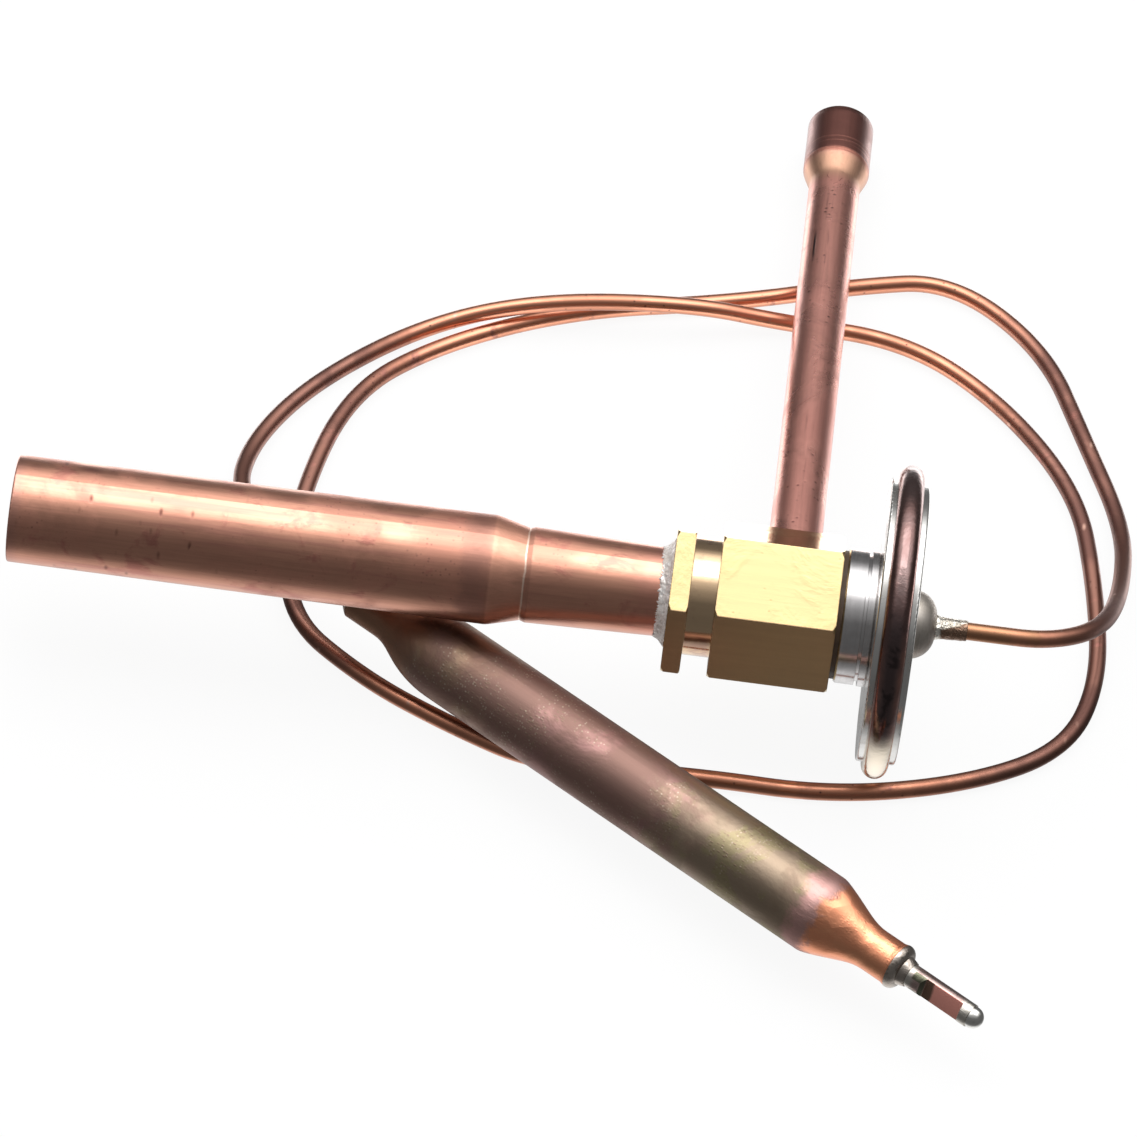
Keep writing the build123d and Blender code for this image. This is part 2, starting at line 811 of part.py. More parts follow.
with BuildPart() as stub_solder:
    solder_tip = (near_end + solder_length, solder_tip_diameter / 2)
    solder_ring_end = (near_end + solder_ring_length, solder_ring_end_diameter / 2)
    solder_middle = (near_end + solder_mid_run, solder_mid_diameter / 2)
    with BuildSketch(bulb_section):
        with BuildLine():
            Polyline(
                solder_tip,
                (near_end + solder_length, stub_fit_radius),
                (near_end, stub_fit_radius),
                (near_end, near_lip_diameter / 2),
            )
            Line(solder_tip, solder_ring_end)
            ThreePointArc((near_end, near_lip_diameter / 2), solder_middle, solder_ring_end)
        make_face()
    revolve(axis=bulb_axis)
keep(stub_solder, "stub_solder")

# Charging stub: a small tube that is pinched flat on the side away from the valve
stub_end = near_end + stub_tube_length
pinch_start = near_end + stub_pinch_start
pinch_end = pinch_start + stub_pinch_length
pinch_floor = stub_tube_diameter / 2 - stub_pinch_depth
pinch_section = bulb_section.rotated((stub_pinch_turn, 0, 0))
with BuildPart() as charging_stub:
    with BuildSketch(across_bulb(near_neck_start)):
        Circle(stub_tube_diameter / 2)
    extrude(amount=stub_end - near_neck_start)
    with BuildSketch(across_bulb(near_neck_start)):
        Circle(stub_tube_bore / 2)
    extrude(amount=stub_bore_depth, mode=Mode.SUBTRACT)
    with BuildSketch(pinch_section):
        with BuildLine():
            Polyline(
                (pinch_start, stub_tube_diameter),
                (pinch_start + stub_pinch_lead, pinch_floor),
                (pinch_end - stub_pinch_rise, pinch_floor),
                (pinch_end, stub_tube_diameter),
                close=True,
            )
        make_face()
    extrude(amount=stub_tube_diameter, both=True, mode=Mode.SUBTRACT)
keep(charging_stub, "charging_stub")

ball_radius = stub_ball_diameter / 2
ball_angle = degrees(acos(-stub_ball_sink / ball_radius))
with BuildPart() as stub_ball:
    with BuildSketch(bulb_section):
        with BuildLine():
            dome = CenterArc((stub_end + stub_ball_sink, 0), ball_radius, 0, ball_angle)
            Line(dome @ 0, (stub_end, 0))
            Line((stub_end, 0), dome @ 1)
        make_face()
    revolve(axis=bulb_axis)
keep(stub_ball, "stub_ball")

# Capillary: from the head once round, over itself, under the outlet tube and into the bulb.
# Points are taken from the floor below the middle of the hex; the first two follow the
# valve's axis and the last two follow the bulb's.
floor_line = capillary_diameter / 2 + floor_clearance
bench_point = Vector(valve_x, valve_y, 0)
capillary_route = [
    (49, 1.5, 26.2),
    (58.5, 10, 21.3),
    (62, 28, 10.5),
    (62, 49.5, floor_line),
    (54.5, 69.5, floor_line),
    (45, 90.5, floor_line),
    (26, 104, floor_line),
    (8, 99.5, floor_line),
    (-15, 91.5, floor_line),
    (-43, 85, floor_line),
    (-67, 72.5, floor_line),
    (-82, 58, floor_line),
    (-88, 31, floor_line),
    (-87.5, 5.5, floor_line),
    (-71, -7.5, floor_line),
    (-54, -15.5, floor_line),
    (-38, -21.3, floor_line),
    (-10, -19.5, floor_line),
    (14, -20, floor_line),
    (38, -13.5, floor_line),
    (55, -3, floor_line),
    (60, 14, floor_line),
    (58.5, 36, floor_line),
    (51.5, 56, floor_line),
    (36.5, 74.5, floor_line),
    (19, 87.8, floor_line),
    (-5, 88.5, floor_line),
    (-21, 85.5, 7),
    (-48, 82, 7),
    (-69, 77.5, floor_line),
    (-88, 60.5, floor_line),
    (-98, 44, floor_line),
    (-99, 27, 6),
]
head_exit = [
    Vector(capillary_start, 0, axis_height),
    Vector(capillary_start + capillary_straight, 0, axis_height),
]
bulb_entry = [
    bulb_start - bench_point + bulb_direction * (far_end - capillary_entry),
    bulb_start - bench_point + bulb_direction * (far_end + capillary_insertion),
]
route = [bench_point + point for point in head_exit + [Vector(*p) for p in capillary_route] + bulb_entry]
runs = [after - before for before, after in zip(route, route[1:])]
radii = [
    bend_share * min(first.length, second.length) / tan(radians(first.get_angle(second)) / 2)
    for first, second in zip(runs, runs[1:])
]
print("capillary bend radii", [round(radius, 1) for radius in radii])
with BuildPart() as capillary_tube:
    with BuildLine() as capillary_line:
        FilletPolyline(*route, radius=radii)
    with BuildSketch(Plane(origin=route[0], z_dir=(1, 0, 0))):
        Circle(capillary_diameter / 2)
    sweep()
keep(capillary_tube, "capillary_tube")
capillary_length = sum(edge.length for edge in capillary_line.edges())
swept_volume = pi * (capillary_diameter / 2) ** 2 * capillary_length
print("capillary length", round(capillary_length, 1))
print("capillary volume", round(capillary_tube.part.volume, 1), "section by length", round(swept_volume, 1))
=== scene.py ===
import json
import math

import bpy
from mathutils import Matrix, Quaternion, Vector

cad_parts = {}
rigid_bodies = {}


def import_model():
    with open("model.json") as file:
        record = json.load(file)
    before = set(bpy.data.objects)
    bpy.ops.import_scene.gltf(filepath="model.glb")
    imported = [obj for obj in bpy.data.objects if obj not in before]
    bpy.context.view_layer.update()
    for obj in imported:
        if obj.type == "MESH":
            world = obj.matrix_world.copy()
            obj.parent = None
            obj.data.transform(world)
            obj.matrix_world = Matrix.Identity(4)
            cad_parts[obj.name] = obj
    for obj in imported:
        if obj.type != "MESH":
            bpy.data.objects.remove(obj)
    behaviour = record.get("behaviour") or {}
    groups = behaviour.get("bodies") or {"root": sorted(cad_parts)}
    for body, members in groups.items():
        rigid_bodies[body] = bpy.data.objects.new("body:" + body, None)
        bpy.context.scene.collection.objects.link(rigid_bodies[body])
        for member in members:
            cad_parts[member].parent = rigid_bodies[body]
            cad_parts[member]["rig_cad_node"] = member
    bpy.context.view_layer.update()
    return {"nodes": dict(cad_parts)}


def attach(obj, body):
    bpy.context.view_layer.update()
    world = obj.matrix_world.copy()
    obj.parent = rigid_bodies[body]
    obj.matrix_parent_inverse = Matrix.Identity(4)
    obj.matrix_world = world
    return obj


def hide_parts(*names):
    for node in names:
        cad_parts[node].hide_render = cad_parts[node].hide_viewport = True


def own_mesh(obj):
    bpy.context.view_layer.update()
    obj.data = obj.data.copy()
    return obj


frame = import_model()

# Where the pieces lie and how large they are, in metres, as in the solids
valve_line = Vector((0.051, -0.0533076, 0.028))
inlet_line = Vector((0.0531, -0.0533076, 0.028))
inlet_way = Vector((0.0, 0.9868252, -0.1617899))
inlet_turn = (0.0, math.asin(0.1617899), math.radians(90.0))
hex_flat = 0.0127
bulb_start = Vector((-0.0087, -0.0597076, 0.011395))
bulb_way = Vector((0.8433914, -0.5372996, 0.0))
bulb_turn = (0.0, 0.0, math.radians(-32.5))

# Flat pinched into the charging stub: where it starts and ends along the bulb, how far its ends
# slope, how high its floor lies over the stub's line, and which way it faces
stub_radius = 0.00215
pinch_start = 0.1088
pinch_end = 0.1194
pinch_lead = 0.0022
pinch_rise = 0.0006
pinch_floor = 0.00085
pinch_turn = math.radians(72.0)
pinch_way_on_bulb = (0.0, -math.sin(pinch_turn), math.cos(pinch_turn))
bulb_side = Vector((bulb_way.y, -bulb_way.x, 0.0))
pinch_way = Vector((0.0, 0.0, math.cos(pinch_turn))) + bulb_side * math.sin(pinch_turn)

capillary_radius = 0.0015875
laid = 0.0016075


# Camera: fitted to the photographed valve's tubes, hex, head and bulb
view_target = Vector((0.013755, -0.050788, 0.028))
view_azimuth = math.radians(0.912)
view_elevation = math.radians(51.126)
view_roll = math.radians(6.655)
view_distance = 1.5
view_lens = 268.44
view_sensor = 36.0


def set_up_camera():
    level_share = math.cos(view_elevation)
    towards = Vector((
        level_share * math.sin(view_azimuth),
        -level_share * math.cos(view_azimuth),
        math.sin(view_elevation),
    ))
    place = view_target + towards * view_distance
    camera = bpy.data.objects.new("camera", bpy.data.cameras.new("camera"))
    bpy.context.scene.collection.objects.link(camera)
    camera.data.lens = view_lens
    camera.data.sensor_width = view_sensor
    camera.data.clip_end = 20.0
    camera.location = place
    camera.rotation_mode = "QUATERNION"
    look = (view_target - place).to_track_quat("-Z", "Y")
    camera.rotation_quaternion = look @ Quaternion((0.0, 0.0, 1.0), view_roll)
    bpy.context.scene.camera = camera


set_up_camera()


# Capillary: the solid's route as control points of one smooth curve, with five of them moved by up
# to 1.5 mm to where the photographed tube lies
capillary_route = [
    (0.0758, -0.0533, 0.0280),
    (0.0880, -0.0533, 0.0280),
    (0.1000, -0.0518, 0.0262),
    (0.1095, -0.0433, 0.0213),
    (0.1130, -0.0253, 0.0105),
    (0.1130, -0.0038, laid),
    (0.1045, 0.0157, laid),
    (0.0955, 0.0367, laid),
    (0.0770, 0.0507, laid),
    (0.0590, 0.0462, laid),
    (0.0360, 0.0382, laid),
    (0.0080, 0.0317, laid),
    (-0.0160, 0.0192, laid),
    (-0.0310, 0.0047, laid),
    (-0.0370, -0.0223, laid),
    (-0.0365, -0.0478, laid),
    (-0.0200, -0.0608, laid),
    (-0.0030, -0.0688, laid),
    (0.0130, -0.0746, laid),
    (0.0410, -0.0728, laid),
    (0.0650, -0.0733, laid),
    (0.0890, -0.0668, laid),
    (0.1060, -0.0563, laid),
    (0.1110, -0.0393, laid),
    (0.1085, -0.0172, laid),
    (0.1039, 0.0032, laid),
    (0.0887, 0.0223, laid),
    (0.0700, 0.0345, laid),
    (0.0460, 0.0352, laid),
    (0.0300, 0.0322, 0.0070),
    (0.0030, 0.0287, 0.0070),
    (-0.0180, 0.0242, laid),
    (-0.0370, 0.0072, laid),
    (-0.0470, -0.0093, laid),
    (-0.0480, -0.0263, 0.0060),
    (-0.0353, -0.0428, 0.0114),
    (-0.0218, -0.0514, 0.0114),
]


def draw_capillary():
    line = bpy.data.curves.new("capillary", "CURVE")
    line.dimensions = "3D"
    spline = line.splines.new("NURBS")
    spline.points.add(len(capillary_route) - 1)
    for point, place in zip(spline.points, capillary_route):
        point.co = (*place, 1.0)
    spline.order_u = 3
    spline.use_endpoint_u = True
    spline.resolution_u = 12
    line.bevel_depth = capillary_radius
    line.bevel_resolution = 6
    line.use_fill_caps = True
    capillary = bpy.data.objects.new("capillary", line)
    bpy.context.scene.collection.objects.link(capillary)
    return capillary


capillary = draw_capillary()


# Effects shared by the finishes, each a node group built once
class Group:
    """A shader node group with named sockets and short ways to add nodes to it."""

    def __init__(self, name, inputs, outputs):
        self.tree = bpy.data.node_groups.new(name, "ShaderNodeTree")
        for label, kind, value in inputs:
            socket = self.tree.interface.new_socket(label, in_out="INPUT", socket_type=kind)
            if value is not None:
                socket.default_value = value
        for label, kind in outputs:
            self.tree.interface.new_socket(label, in_out="OUTPUT", socket_type=kind)
        self.start = self.tree.nodes.new("NodeGroupInput")
        self.end = self.tree.nodes.new("NodeGroupOutput")

    def value(self, label):
        return self.start.outputs[label]

    def give(self, label, socket):
        self.tree.links.new(socket, self.end.inputs[label])


def plug(tree, node, inputs):
    """Set each named or numbered input of a node to a value or to another node's output."""
    for label, value in inputs.items():
        if isinstance(value, bpy.types.NodeSocket):
            tree.links.new(value, node.inputs[label])
        else:
            node.inputs[label].default_value = value


def maths(tree, operation, first, second=0.0, clamp=False):
    node = tree.nodes.new("ShaderNodeMath")
    node.operation = operation
    node.use_clamp = clamp
    plug(tree, node, {0: first, 1: second})
    return node.outputs[0]


def blend(tree, share, first, second):
    """Go from one value to another. Inputs 2 and 3 of the node are its two values."""
    node = tree.nodes.new("ShaderNodeMix")
    plug(tree, node, {0: share, 2: first, 3: second})
    return node.outputs[0]


def noise(tree, where, scale, detail=3.0, roughness=0.5, distortion=0.0):
    node = tree.nodes.new("ShaderNodeTexNoise")
    plug(tree, node, {
        "Vector": where,
        "Scale": scale,
        "Detail": detail,
        "Roughness": roughness,
        "Distortion": distortion,
    })
    return node.outputs[0]


def spread(tree, value, low, high, new_low=0.0, new_high=1.0, smooth=True):
    """Stretch a range of values on to another, held at its ends."""
    node = tree.nodes.new("ShaderNodeMapRange")
    node.interpolation_type = "SMOOTHSTEP" if smooth else "LINEAR"
    plug(tree, node, {
        "Value": value,
        "From Min": low,
        "From Max": high,
        "To Min": new_low,
        "To Max": new_high,
    })
    return node.outputs["Result"]


def stretched(tree, where, scale):
    node = tree.nodes.new("ShaderNodeVectorMath")
    node.operation = "MULTIPLY"
    plug(tree, node, {0: where, 1: scale})
    return node.outputs[0]


def build_drawn_lines():
    """Fine lines along X, as a drawn tube or a rolled sheet has."""
    group = Group(
        "drawn_lines",
        [("Vector", "NodeSocketVector", None), ("Fineness", "NodeSocketFloat", 1500.0)],
        [("Value", "NodeSocketFloat")],
    )
    tree = group.tree
    pulled = stretched(tree, group.value("Vector"), (0.04, 1.0, 1.0))
    group.give("Value", noise(tree, pulled, group.value("Fineness"), 4.0, 0.65))
    return tree


def build_turned_rings():
    """Fine rings round X, as a lathe tool leaves them."""
    group = Group(
        "turned_rings",
        [("Vector", "NodeSocketVector", None), ("Fineness", "NodeSocketFloat", 4000.0)],
        [("Value", "NodeSocketFloat")],
    )
    tree = group.tree
    pulled = stretched(tree, group.value("Vector"), (1.0, 0.02, 0.02))
    group.give("Value", noise(tree, pulled, group.value("Fineness"), 3.0, 0.6))
    return tree


def build_faced_rings():
    """Fine rings on a flat face round X, as a facing cut leaves them."""
    group = Group(
        "faced_rings",
        [("Vector", "NodeSocketVector", None), ("Fineness", "NodeSocketFloat", 4000.0)],
        [("Value", "NodeSocketFloat")],
    )
    tree = group.tree
    flat = stretched(tree, group.value("Vector"), (0.0, 1.0, 1.0))
    length = tree.nodes.new("ShaderNodeVectorMath")
    length.operation = "LENGTH"
    plug(tree, length, {0: flat})
    joined = tree.nodes.new("ShaderNodeCombineXYZ")
    plug(tree, joined, {"X": length.outputs["Value"]})
    group.give("Value", noise(tree, joined.outputs[0], group.value("Fineness"), 3.0, 0.6))
    return tree


def build_clouding():
    """Soft uneven patches, from bare to fully tarnished."""
    group = Group(
        "clouding",
        [
            ("Vector", "NodeSocketVector", None),
            ("Scale", "NodeSocketFloat", 60.0),
            ("From", "NodeSocketFloat", 0.4),
            ("To", "NodeSocketFloat", 0.6),
        ],
        [("Mask", "NodeSocketFloat")],
    )
    tree = group.tree
    patches = noise(tree, group.value("Vector"), group.value("Scale"), 5.0, 0.6, 0.4)
    group.give("Mask", spread(tree, patches, group.value("From"), group.value("To")))
    return tree


def build_scratches():
    """Thin broken scratches, where one stretched noise crosses its middle."""
    group = Group(
        "scratches",
        [
            ("Vector", "NodeSocketVector", None),
            ("Scale", "NodeSocketFloat", 90.0),
            ("Width", "NodeSocketFloat", 0.006),
            ("Share", "NodeSocketFloat", 0.55),
        ],
        [("Mask", "NodeSocketFloat")],
    )
    tree = group.tree
    where = group.value("Vector")
    scale = group.value("Scale")
    field = noise(tree, where, scale, 1.0, 0.4, 0.3)
    away = maths(tree, "ABSOLUTE", maths(tree, "SUBTRACT", field, 0.5))
    line = spread(tree, away, group.value("Width"), 0.0)
    broken = noise(tree, where, maths(tree, "MULTIPLY", scale, 1.7), 2.0)
    share = group.value("Share")
    kept = spread(tree, broken, share, maths(tree, "ADD", share, 0.05))
    group.give("Mask", maths(tree, "MULTIPLY", line, kept))
    return tree


def build_pits():
    """Small pits, specks or dashes, here and there."""
    group = Group(
        "pits",
        [
            ("Vector", "NodeSocketVector", None),
            ("Scale", "NodeSocketFloat", 700.0),
            ("Size", "NodeSocketFloat", 0.22),
            ("Share", "NodeSocketFloat", 0.6),
            ("Stretch", "NodeSocketVector", (1.0, 1.0, 1.0)),
        ],
        [("Mask", "NodeSocketFloat")],
    )
    tree = group.tree
    pulled = stretched(tree, group.value("Vector"), group.value("Stretch"))
    cells = tree.nodes.new("ShaderNodeTexVoronoi")
    plug(tree, cells, {"Vector": pulled, "Scale": group.value("Scale")})
    spot = spread(tree, cells.outputs["Distance"], group.value("Size"), 0.0)
    parts = tree.nodes.new("ShaderNodeSeparateColor")
    plug(tree, parts, {0: cells.outputs["Color"]})
    chosen = maths(tree, "GREATER_THAN", parts.outputs[0], group.value("Share"))
    group.give("Mask", maths(tree, "MULTIPLY", spot, chosen))
    return tree


def build_length_band():
    """One stretch along X, with soft ends that may be uneven."""
    group = Group(
        "length_band",
        [
            ("Vector", "NodeSocketVector", None),
            ("Start", "NodeSocketFloat", 0.0),
            ("End", "NodeSocketFloat", 0.1),
            ("Blur", "NodeSocketFloat", 0.002),
            ("Wobble", "NodeSocketFloat", 0.0),
        ],
        [("Mask", "NodeSocketFloat")],
    )
    tree = group.tree
    where = group.value("Vector")
    parts = tree.nodes.new("ShaderNodeSeparateXYZ")
    plug(tree, parts, {0: where})
    shift = maths(tree, "SUBTRACT", noise(tree, where, 320.0, 3.0, 0.6), 0.5)
    shift = maths(tree, "MULTIPLY", shift, group.value("Wobble"))
    along = maths(tree, "ADD", parts.outputs["X"], shift)
    blur = group.value("Blur")
    edges = []
    for label in ("Start", "End"):
        edge = group.value(label)
        edges.append((maths(tree, "SUBTRACT", edge, blur), maths(tree, "ADD", edge, blur)))
    rise = spread(tree, along, *edges[0])
    fall = spread(tree, along, *reversed(edges[1]))
    group.give("Mask", maths(tree, "MULTIPLY", rise, fall))
    return tree


effects = {
    "drawn_lines": build_drawn_lines(),
    "turned_rings": build_turned_rings(),
    "faced_rings": build_faced_rings(),
    "clouding": build_clouding(),
    "scratches": build_scratches(),
    "pits": build_pits(),
    "length_band": build_length_band(),
}


class Finish:
    """A material under way: its surface shader, and short ways to add what varies on it."""

    def __init__(self, name, metallic=1.0):
        self.material = bpy.data.materials.new(name)
        self.material.use_nodes = True
        self.tree = self.material.node_tree
        self.surface = self.tree.nodes["Principled BSDF"]
        self.surface.inputs["Metallic"].default_value = metallic
        coordinates = self.tree.nodes.new("ShaderNodeTexCoord")
        self.where = coordinates.outputs["Object"]

    def turn(self, origin, angles=(0.0, 0.0, 0.0)):
        """Measure from a point on the piece, with X along it."""
        moved = self.tree.nodes.new("ShaderNodeMapping")
        moved.vector_type = "TEXTURE"
        moved.inputs["Location"].default_value = origin
        moved.inputs["Rotation"].default_value = angles
        self.tree.links.new(self.where, moved.inputs["Vector"])
        self.where = moved.outputs[0]

    def along(self, direction):
        """How far a point lies along a direction of the piece."""
        node = self.tree.nodes.new("ShaderNodeVectorMath")
        node.operation = "DOT_PRODUCT"
        plug(self.tree, node, {0: self.where, 1: direction})
        return node.outputs["Value"]

    def effect(self, name, **values):
        """What a shared effect gives here."""
        node = self.tree.nodes.new("ShaderNodeGroup")
        node.node_tree = effects[name]
        plug(self.tree, node, {"Vector": self.where, **values})
        return node.outputs[0]

    def both(self, first, second):
        """Where two masks meet."""
        return maths(self.tree, "MULTIPLY", first, second)

    def between(self, value, low, high, *new_ends):
        """Stretch a range of values softly on to 0 and 1, or on to two other ends."""
        return spread(self.tree, value, low, high, *new_ends)

    def level(self, value, low, high):
        """Two levels that an effect's usual range, from 0.3 to 0.7, goes between."""
        return spread(self.tree, value, 0.3, 0.7, low, high, smooth=False)

    def mix(self, share, first, second, how="MIX"):
        """Mix two colours. Inputs 6 and 7 of the node are its two colours."""
        node = self.tree.nodes.new("ShaderNodeMix")
        node.data_type = "RGBA"
        node.blend_type = how
        plug(self.tree, node, {0: share, 6: first, 7: second})
        return node.outputs[2]

    def colour(self, base, *layers):
        """Lay colours over the base one, each with its mask, and feed the result in."""
        top = base
        for mask, shade in layers:
            top = self.mix(mask, top, shade)
        plug(self.tree, self.surface, {"Base Color": top})
        return top

    def shade(self, top, value, low, high):
        """Darken or lighten the colour by a value that varies."""
        amount = self.level(value, low, high)
        joined = self.tree.nodes.new("ShaderNodeCombineXYZ")
        plug(self.tree, joined, {0: amount, 1: amount, 2: amount})
        top = self.mix(1.0, top, joined.outputs[0], "MULTIPLY")
        plug(self.tree, self.surface, {"Base Color": top})

    def rough(self, value, low, high, mask=None, masked=None):
        """Roughness that varies between two levels, with another level where a mask is on."""
        amount = self.level(value, low, high)
        if mask is not None:
            amount = blend(self.tree, mask, amount, masked)
        plug(self.tree, self.surface, {"Roughness": amount})

    def relief(self, *heights, rounding=None):
        """Add small heights, in millimetres, as one bump."""
        total = None
        for value, height in heights:
            scaled = maths(self.tree, "MULTIPLY", value, height)
            total = scaled if total is None else maths(self.tree, "ADD", total, scaled)
        bump = self.tree.nodes.new("ShaderNodeBump")
        bump.inputs["Distance"].default_value = 0.001
        plug(self.tree, bump, {"Height": total})
        if rounding:
            soft = self.tree.nodes.new("ShaderNodeBevel")
            soft.samples = 4
            soft.inputs["Radius"].default_value = rounding
            plug(self.tree, bump, {"Normal": soft.outputs[0]})
        plug(self.tree, self.surface, {"Normal": bump.outputs[0]})


def rgb(red, green, blue):
    return (red, green, blue, 1.0)


# Bands and heights in the finishes are in metres from the point that each one measures from
up = (0.0, 0.0, 1.0)


def outlet_tube_finish():
    finish = Finish("outlet_tube_copper")
    finish.turn(valve_line)
    lines = finish.effect("drawn_lines", Fineness=1500.0)
    streaks = finish.effect("drawn_lines", Fineness=330.0)
    haze = finish.effect("clouding", Scale=48.0, From=0.40, To=0.66)
    stains = finish.effect("clouding", Scale=190.0, From=0.54, To=0.70)
    specks = finish.effect("pits", Scale=1300.0, Size=0.42, Share=0.72)
    dashes = finish.effect("pits", Scale=560.0, Size=0.30, Share=0.62, Stretch=(1.0, 0.45, 0.45))
    smears = finish.effect("pits", Scale=230.0, Size=0.36, Share=0.62, Stretch=(0.5, 1.0, 1.0))
    handled = finish.effect("length_band", Start=-0.131, End=-0.094, Blur=0.008, Wobble=0.02)
    mouth = finish.effect("length_band", Start=-0.14, End=-0.1345, Blur=0.0012)
    cone = finish.effect("length_band", Start=-0.0508, End=-0.0447, Blur=0.0003)
    by_cone = finish.effect("length_band", Start=-0.0555, End=-0.0508, Blur=0.0018, Wobble=0.006)
    crease_painted_shade = finish.effect("length_band", Start=-0.0447, End=-0.0436, Blur=0.0001)
    lip_painted_highlight = finish.effect("length_band", Start=-0.0449, End=-0.0446, Blur=0.0001, Wobble=0.0006)
    heated = finish.effect("length_band", Start=-0.0245, End=-0.010, Blur=0.004, Wobble=0.01)
    speckled = finish.both(specks, finish.between(haze, 0.2, 0.8))
    scuffed = finish.both(dashes, handled)
    smeared = finish.both(smears, finish.between(handled, 0.0, 1.0, 0.35, 1.0))
    streaked = finish.between(streaks, 0.52, 0.70)
    top = finish.colour(
        rgb(0.74, 0.370, 0.260),
        (haze, rgb(0.64, 0.305, 0.220)),
        (streaked, rgb(0.58, 0.265, 0.205)),
        (stains, rgb(0.60, 0.25, 0.195)),
        (smeared, rgb(0.44, 0.19, 0.155)),
        (speckled, rgb(0.44, 0.20, 0.155)),
        (by_cone, rgb(0.50, 0.245, 0.185)),
        (cone, rgb(0.72, 0.36, 0.255)),
        # The crease band is painted shade in the groove, and the lip line beside it is a painted
        # highlight
        (crease_painted_shade, rgb(0.60, 0.29, 0.21)),
        (lip_painted_highlight, rgb(1.0, 0.72, 0.58)),
        (mouth, rgb(0.60, 0.30, 0.23)),
        (heated, rgb(0.74, 0.35, 0.26)),
        (scuffed, rgb(0.26, 0.11, 0.085)),
    )
    finish.shade(top, lines, 0.90, 1.06)
    finish.rough(haze, 0.33, 0.43, mask=heated, masked=0.32)
    finish.relief(
        (lines, 0.012),
        (streaks, 0.03),
        (smeared, -0.008),
        (scuffed, -0.04),
        (haze, 0.03),
        (stains, 0.02),
    )
    return finish.material


def inlet_tube_finish():
    finish = Finish("inlet_tube_copper")
    finish.turn(inlet_line, inlet_turn)
    lines = finish.effect("drawn_lines", Fineness=1500.0)
    streaks = finish.effect("drawn_lines", Fineness=520.0)
    rings = finish.effect("turned_rings", Fineness=1500.0)
    haze = finish.effect("clouding", Scale=70.0, From=0.42, To=0.62)
    pitted = finish.effect("clouding", Scale=110.0, From=0.46, To=0.60)
    specks = finish.effect("pits", Scale=1000.0, Size=0.42, Share=0.62)
    marks = finish.effect("scratches", Scale=260.0, Width=0.02, Share=0.50)
    bell = finish.effect("length_band", Start=0.1228, End=0.15, Blur=0.0008)
    cone = finish.effect("length_band", Start=0.1165, End=0.1228, Blur=0.0020)
    swage = finish.effect("length_band", Start=0.1222, End=0.1268, Blur=0.0004)
    bitten = finish.effect("length_band", Start=0.1120, End=0.1175, Blur=0.0008, Wobble=0.004)
    pit_mask = finish.both(specks, pitted)
    swaged = finish.both(swage, finish.between(rings, 0.50, 0.62))
    bites = finish.both(bitten, marks)
    slit_aside = 0.00265
    off_line = maths(finish.tree, "SUBTRACT", finish.along((0.0, 1.0, 0.0)), slit_aside)
    beside = maths(finish.tree, "ABSOLUTE", off_line)
    slit_length = finish.effect("length_band", Start=0.0930, End=0.0995, Blur=0.0018)
    above = maths(finish.tree, "GREATER_THAN", finish.along(up), 0.0)
    slit = finish.both(slit_length, finish.between(beside, 0.00032, 0.00012))
    slit = finish.both(slit, above)
    dark_streaks = finish.between(streaks, 0.60, 0.72)
    top = finish.colour(
        rgb(0.66, 0.315, 0.26),
        (haze, rgb(0.56, 0.26, 0.215)),
        (dark_streaks, rgb(0.34, 0.155, 0.13)),
        (pit_mask, rgb(0.22, 0.095, 0.08)),
        (cone, rgb(0.50, 0.285, 0.195)),
        (bell, rgb(0.20, 0.085, 0.07)),
        (swaged, rgb(0.46, 0.19, 0.14)),
        (bites, rgb(0.34, 0.14, 0.115)),
        (slit, rgb(0.09, 0.04, 0.03)),
    )
    finish.shade(top, lines, 0.9, 1.06)
    finish.rough(haze, 0.27, 0.36, mask=cone, masked=0.42)
    finish.relief(
        (lines, 0.010),
        (pit_mask, -0.025),
        (bites, 0.03),
        (swaged, 0.05),
        (slit, -0.06),
        (haze, 0.03),
        rounding=0.0022,
    )
    return finish.material


def capillary_finish():
    """Oxidised dark brown, and bare where the tube was drawn or rubbed."""
    finish = Finish("capillary_copper")
    haze = finish.effect("clouding", Scale=34.0, From=0.42, To=0.62)
    rubbed = finish.effect("clouding", Scale=130.0, From=0.60, To=0.72)
    specks = finish.effect("pits", Scale=900.0, Size=0.3, Share=0.80)
    middle = finish.effect("length_band", Start=-0.022, End=0.086, Blur=0.014, Wobble=0.01)
    low = finish.effect("length_band", Start=0.078, End=0.101, Blur=0.009, Wobble=0.006)
    raised = finish.between(finish.along(up), 0.014, 0.022)
    by_head = finish.both(low, raised)
    bare = maths(finish.tree, "MAXIMUM", middle, by_head)
    greened = finish.both(by_head, finish.between(haze, 0.3, 1.0, 0.0, 0.45))
    scuffs = finish.effect("pits", Scale=520.0, Size=0.30, Share=0.86, Stretch=(1.0, 0.5, 1.0))
    top = finish.colour(
        rgb(0.215, 0.105, 0.080),
        (haze, rgb(0.170, 0.083, 0.068)),
        (bare, rgb(0.60, 0.262, 0.165)),
        (greened, rgb(0.42, 0.250, 0.115)),
        (rubbed, rgb(0.30, 0.130, 0.105)),
        (scuffs, rgb(0.50, 0.300, 0.235)),
        (specks, rgb(0.14, 0.06, 0.05)),
    )
    finish.shade(top, haze, 1.05, 0.88)
    soft = finish.level(haze, 0.30, 0.38)
    dull = maths(finish.tree, "ADD", soft, 0.10)
    plug(finish.tree, finish.surface, {"Roughness": blend(finish.tree, bare, dull, soft)})
    finish.relief((rubbed, 0.015), (specks, -0.015))
    return finish.material


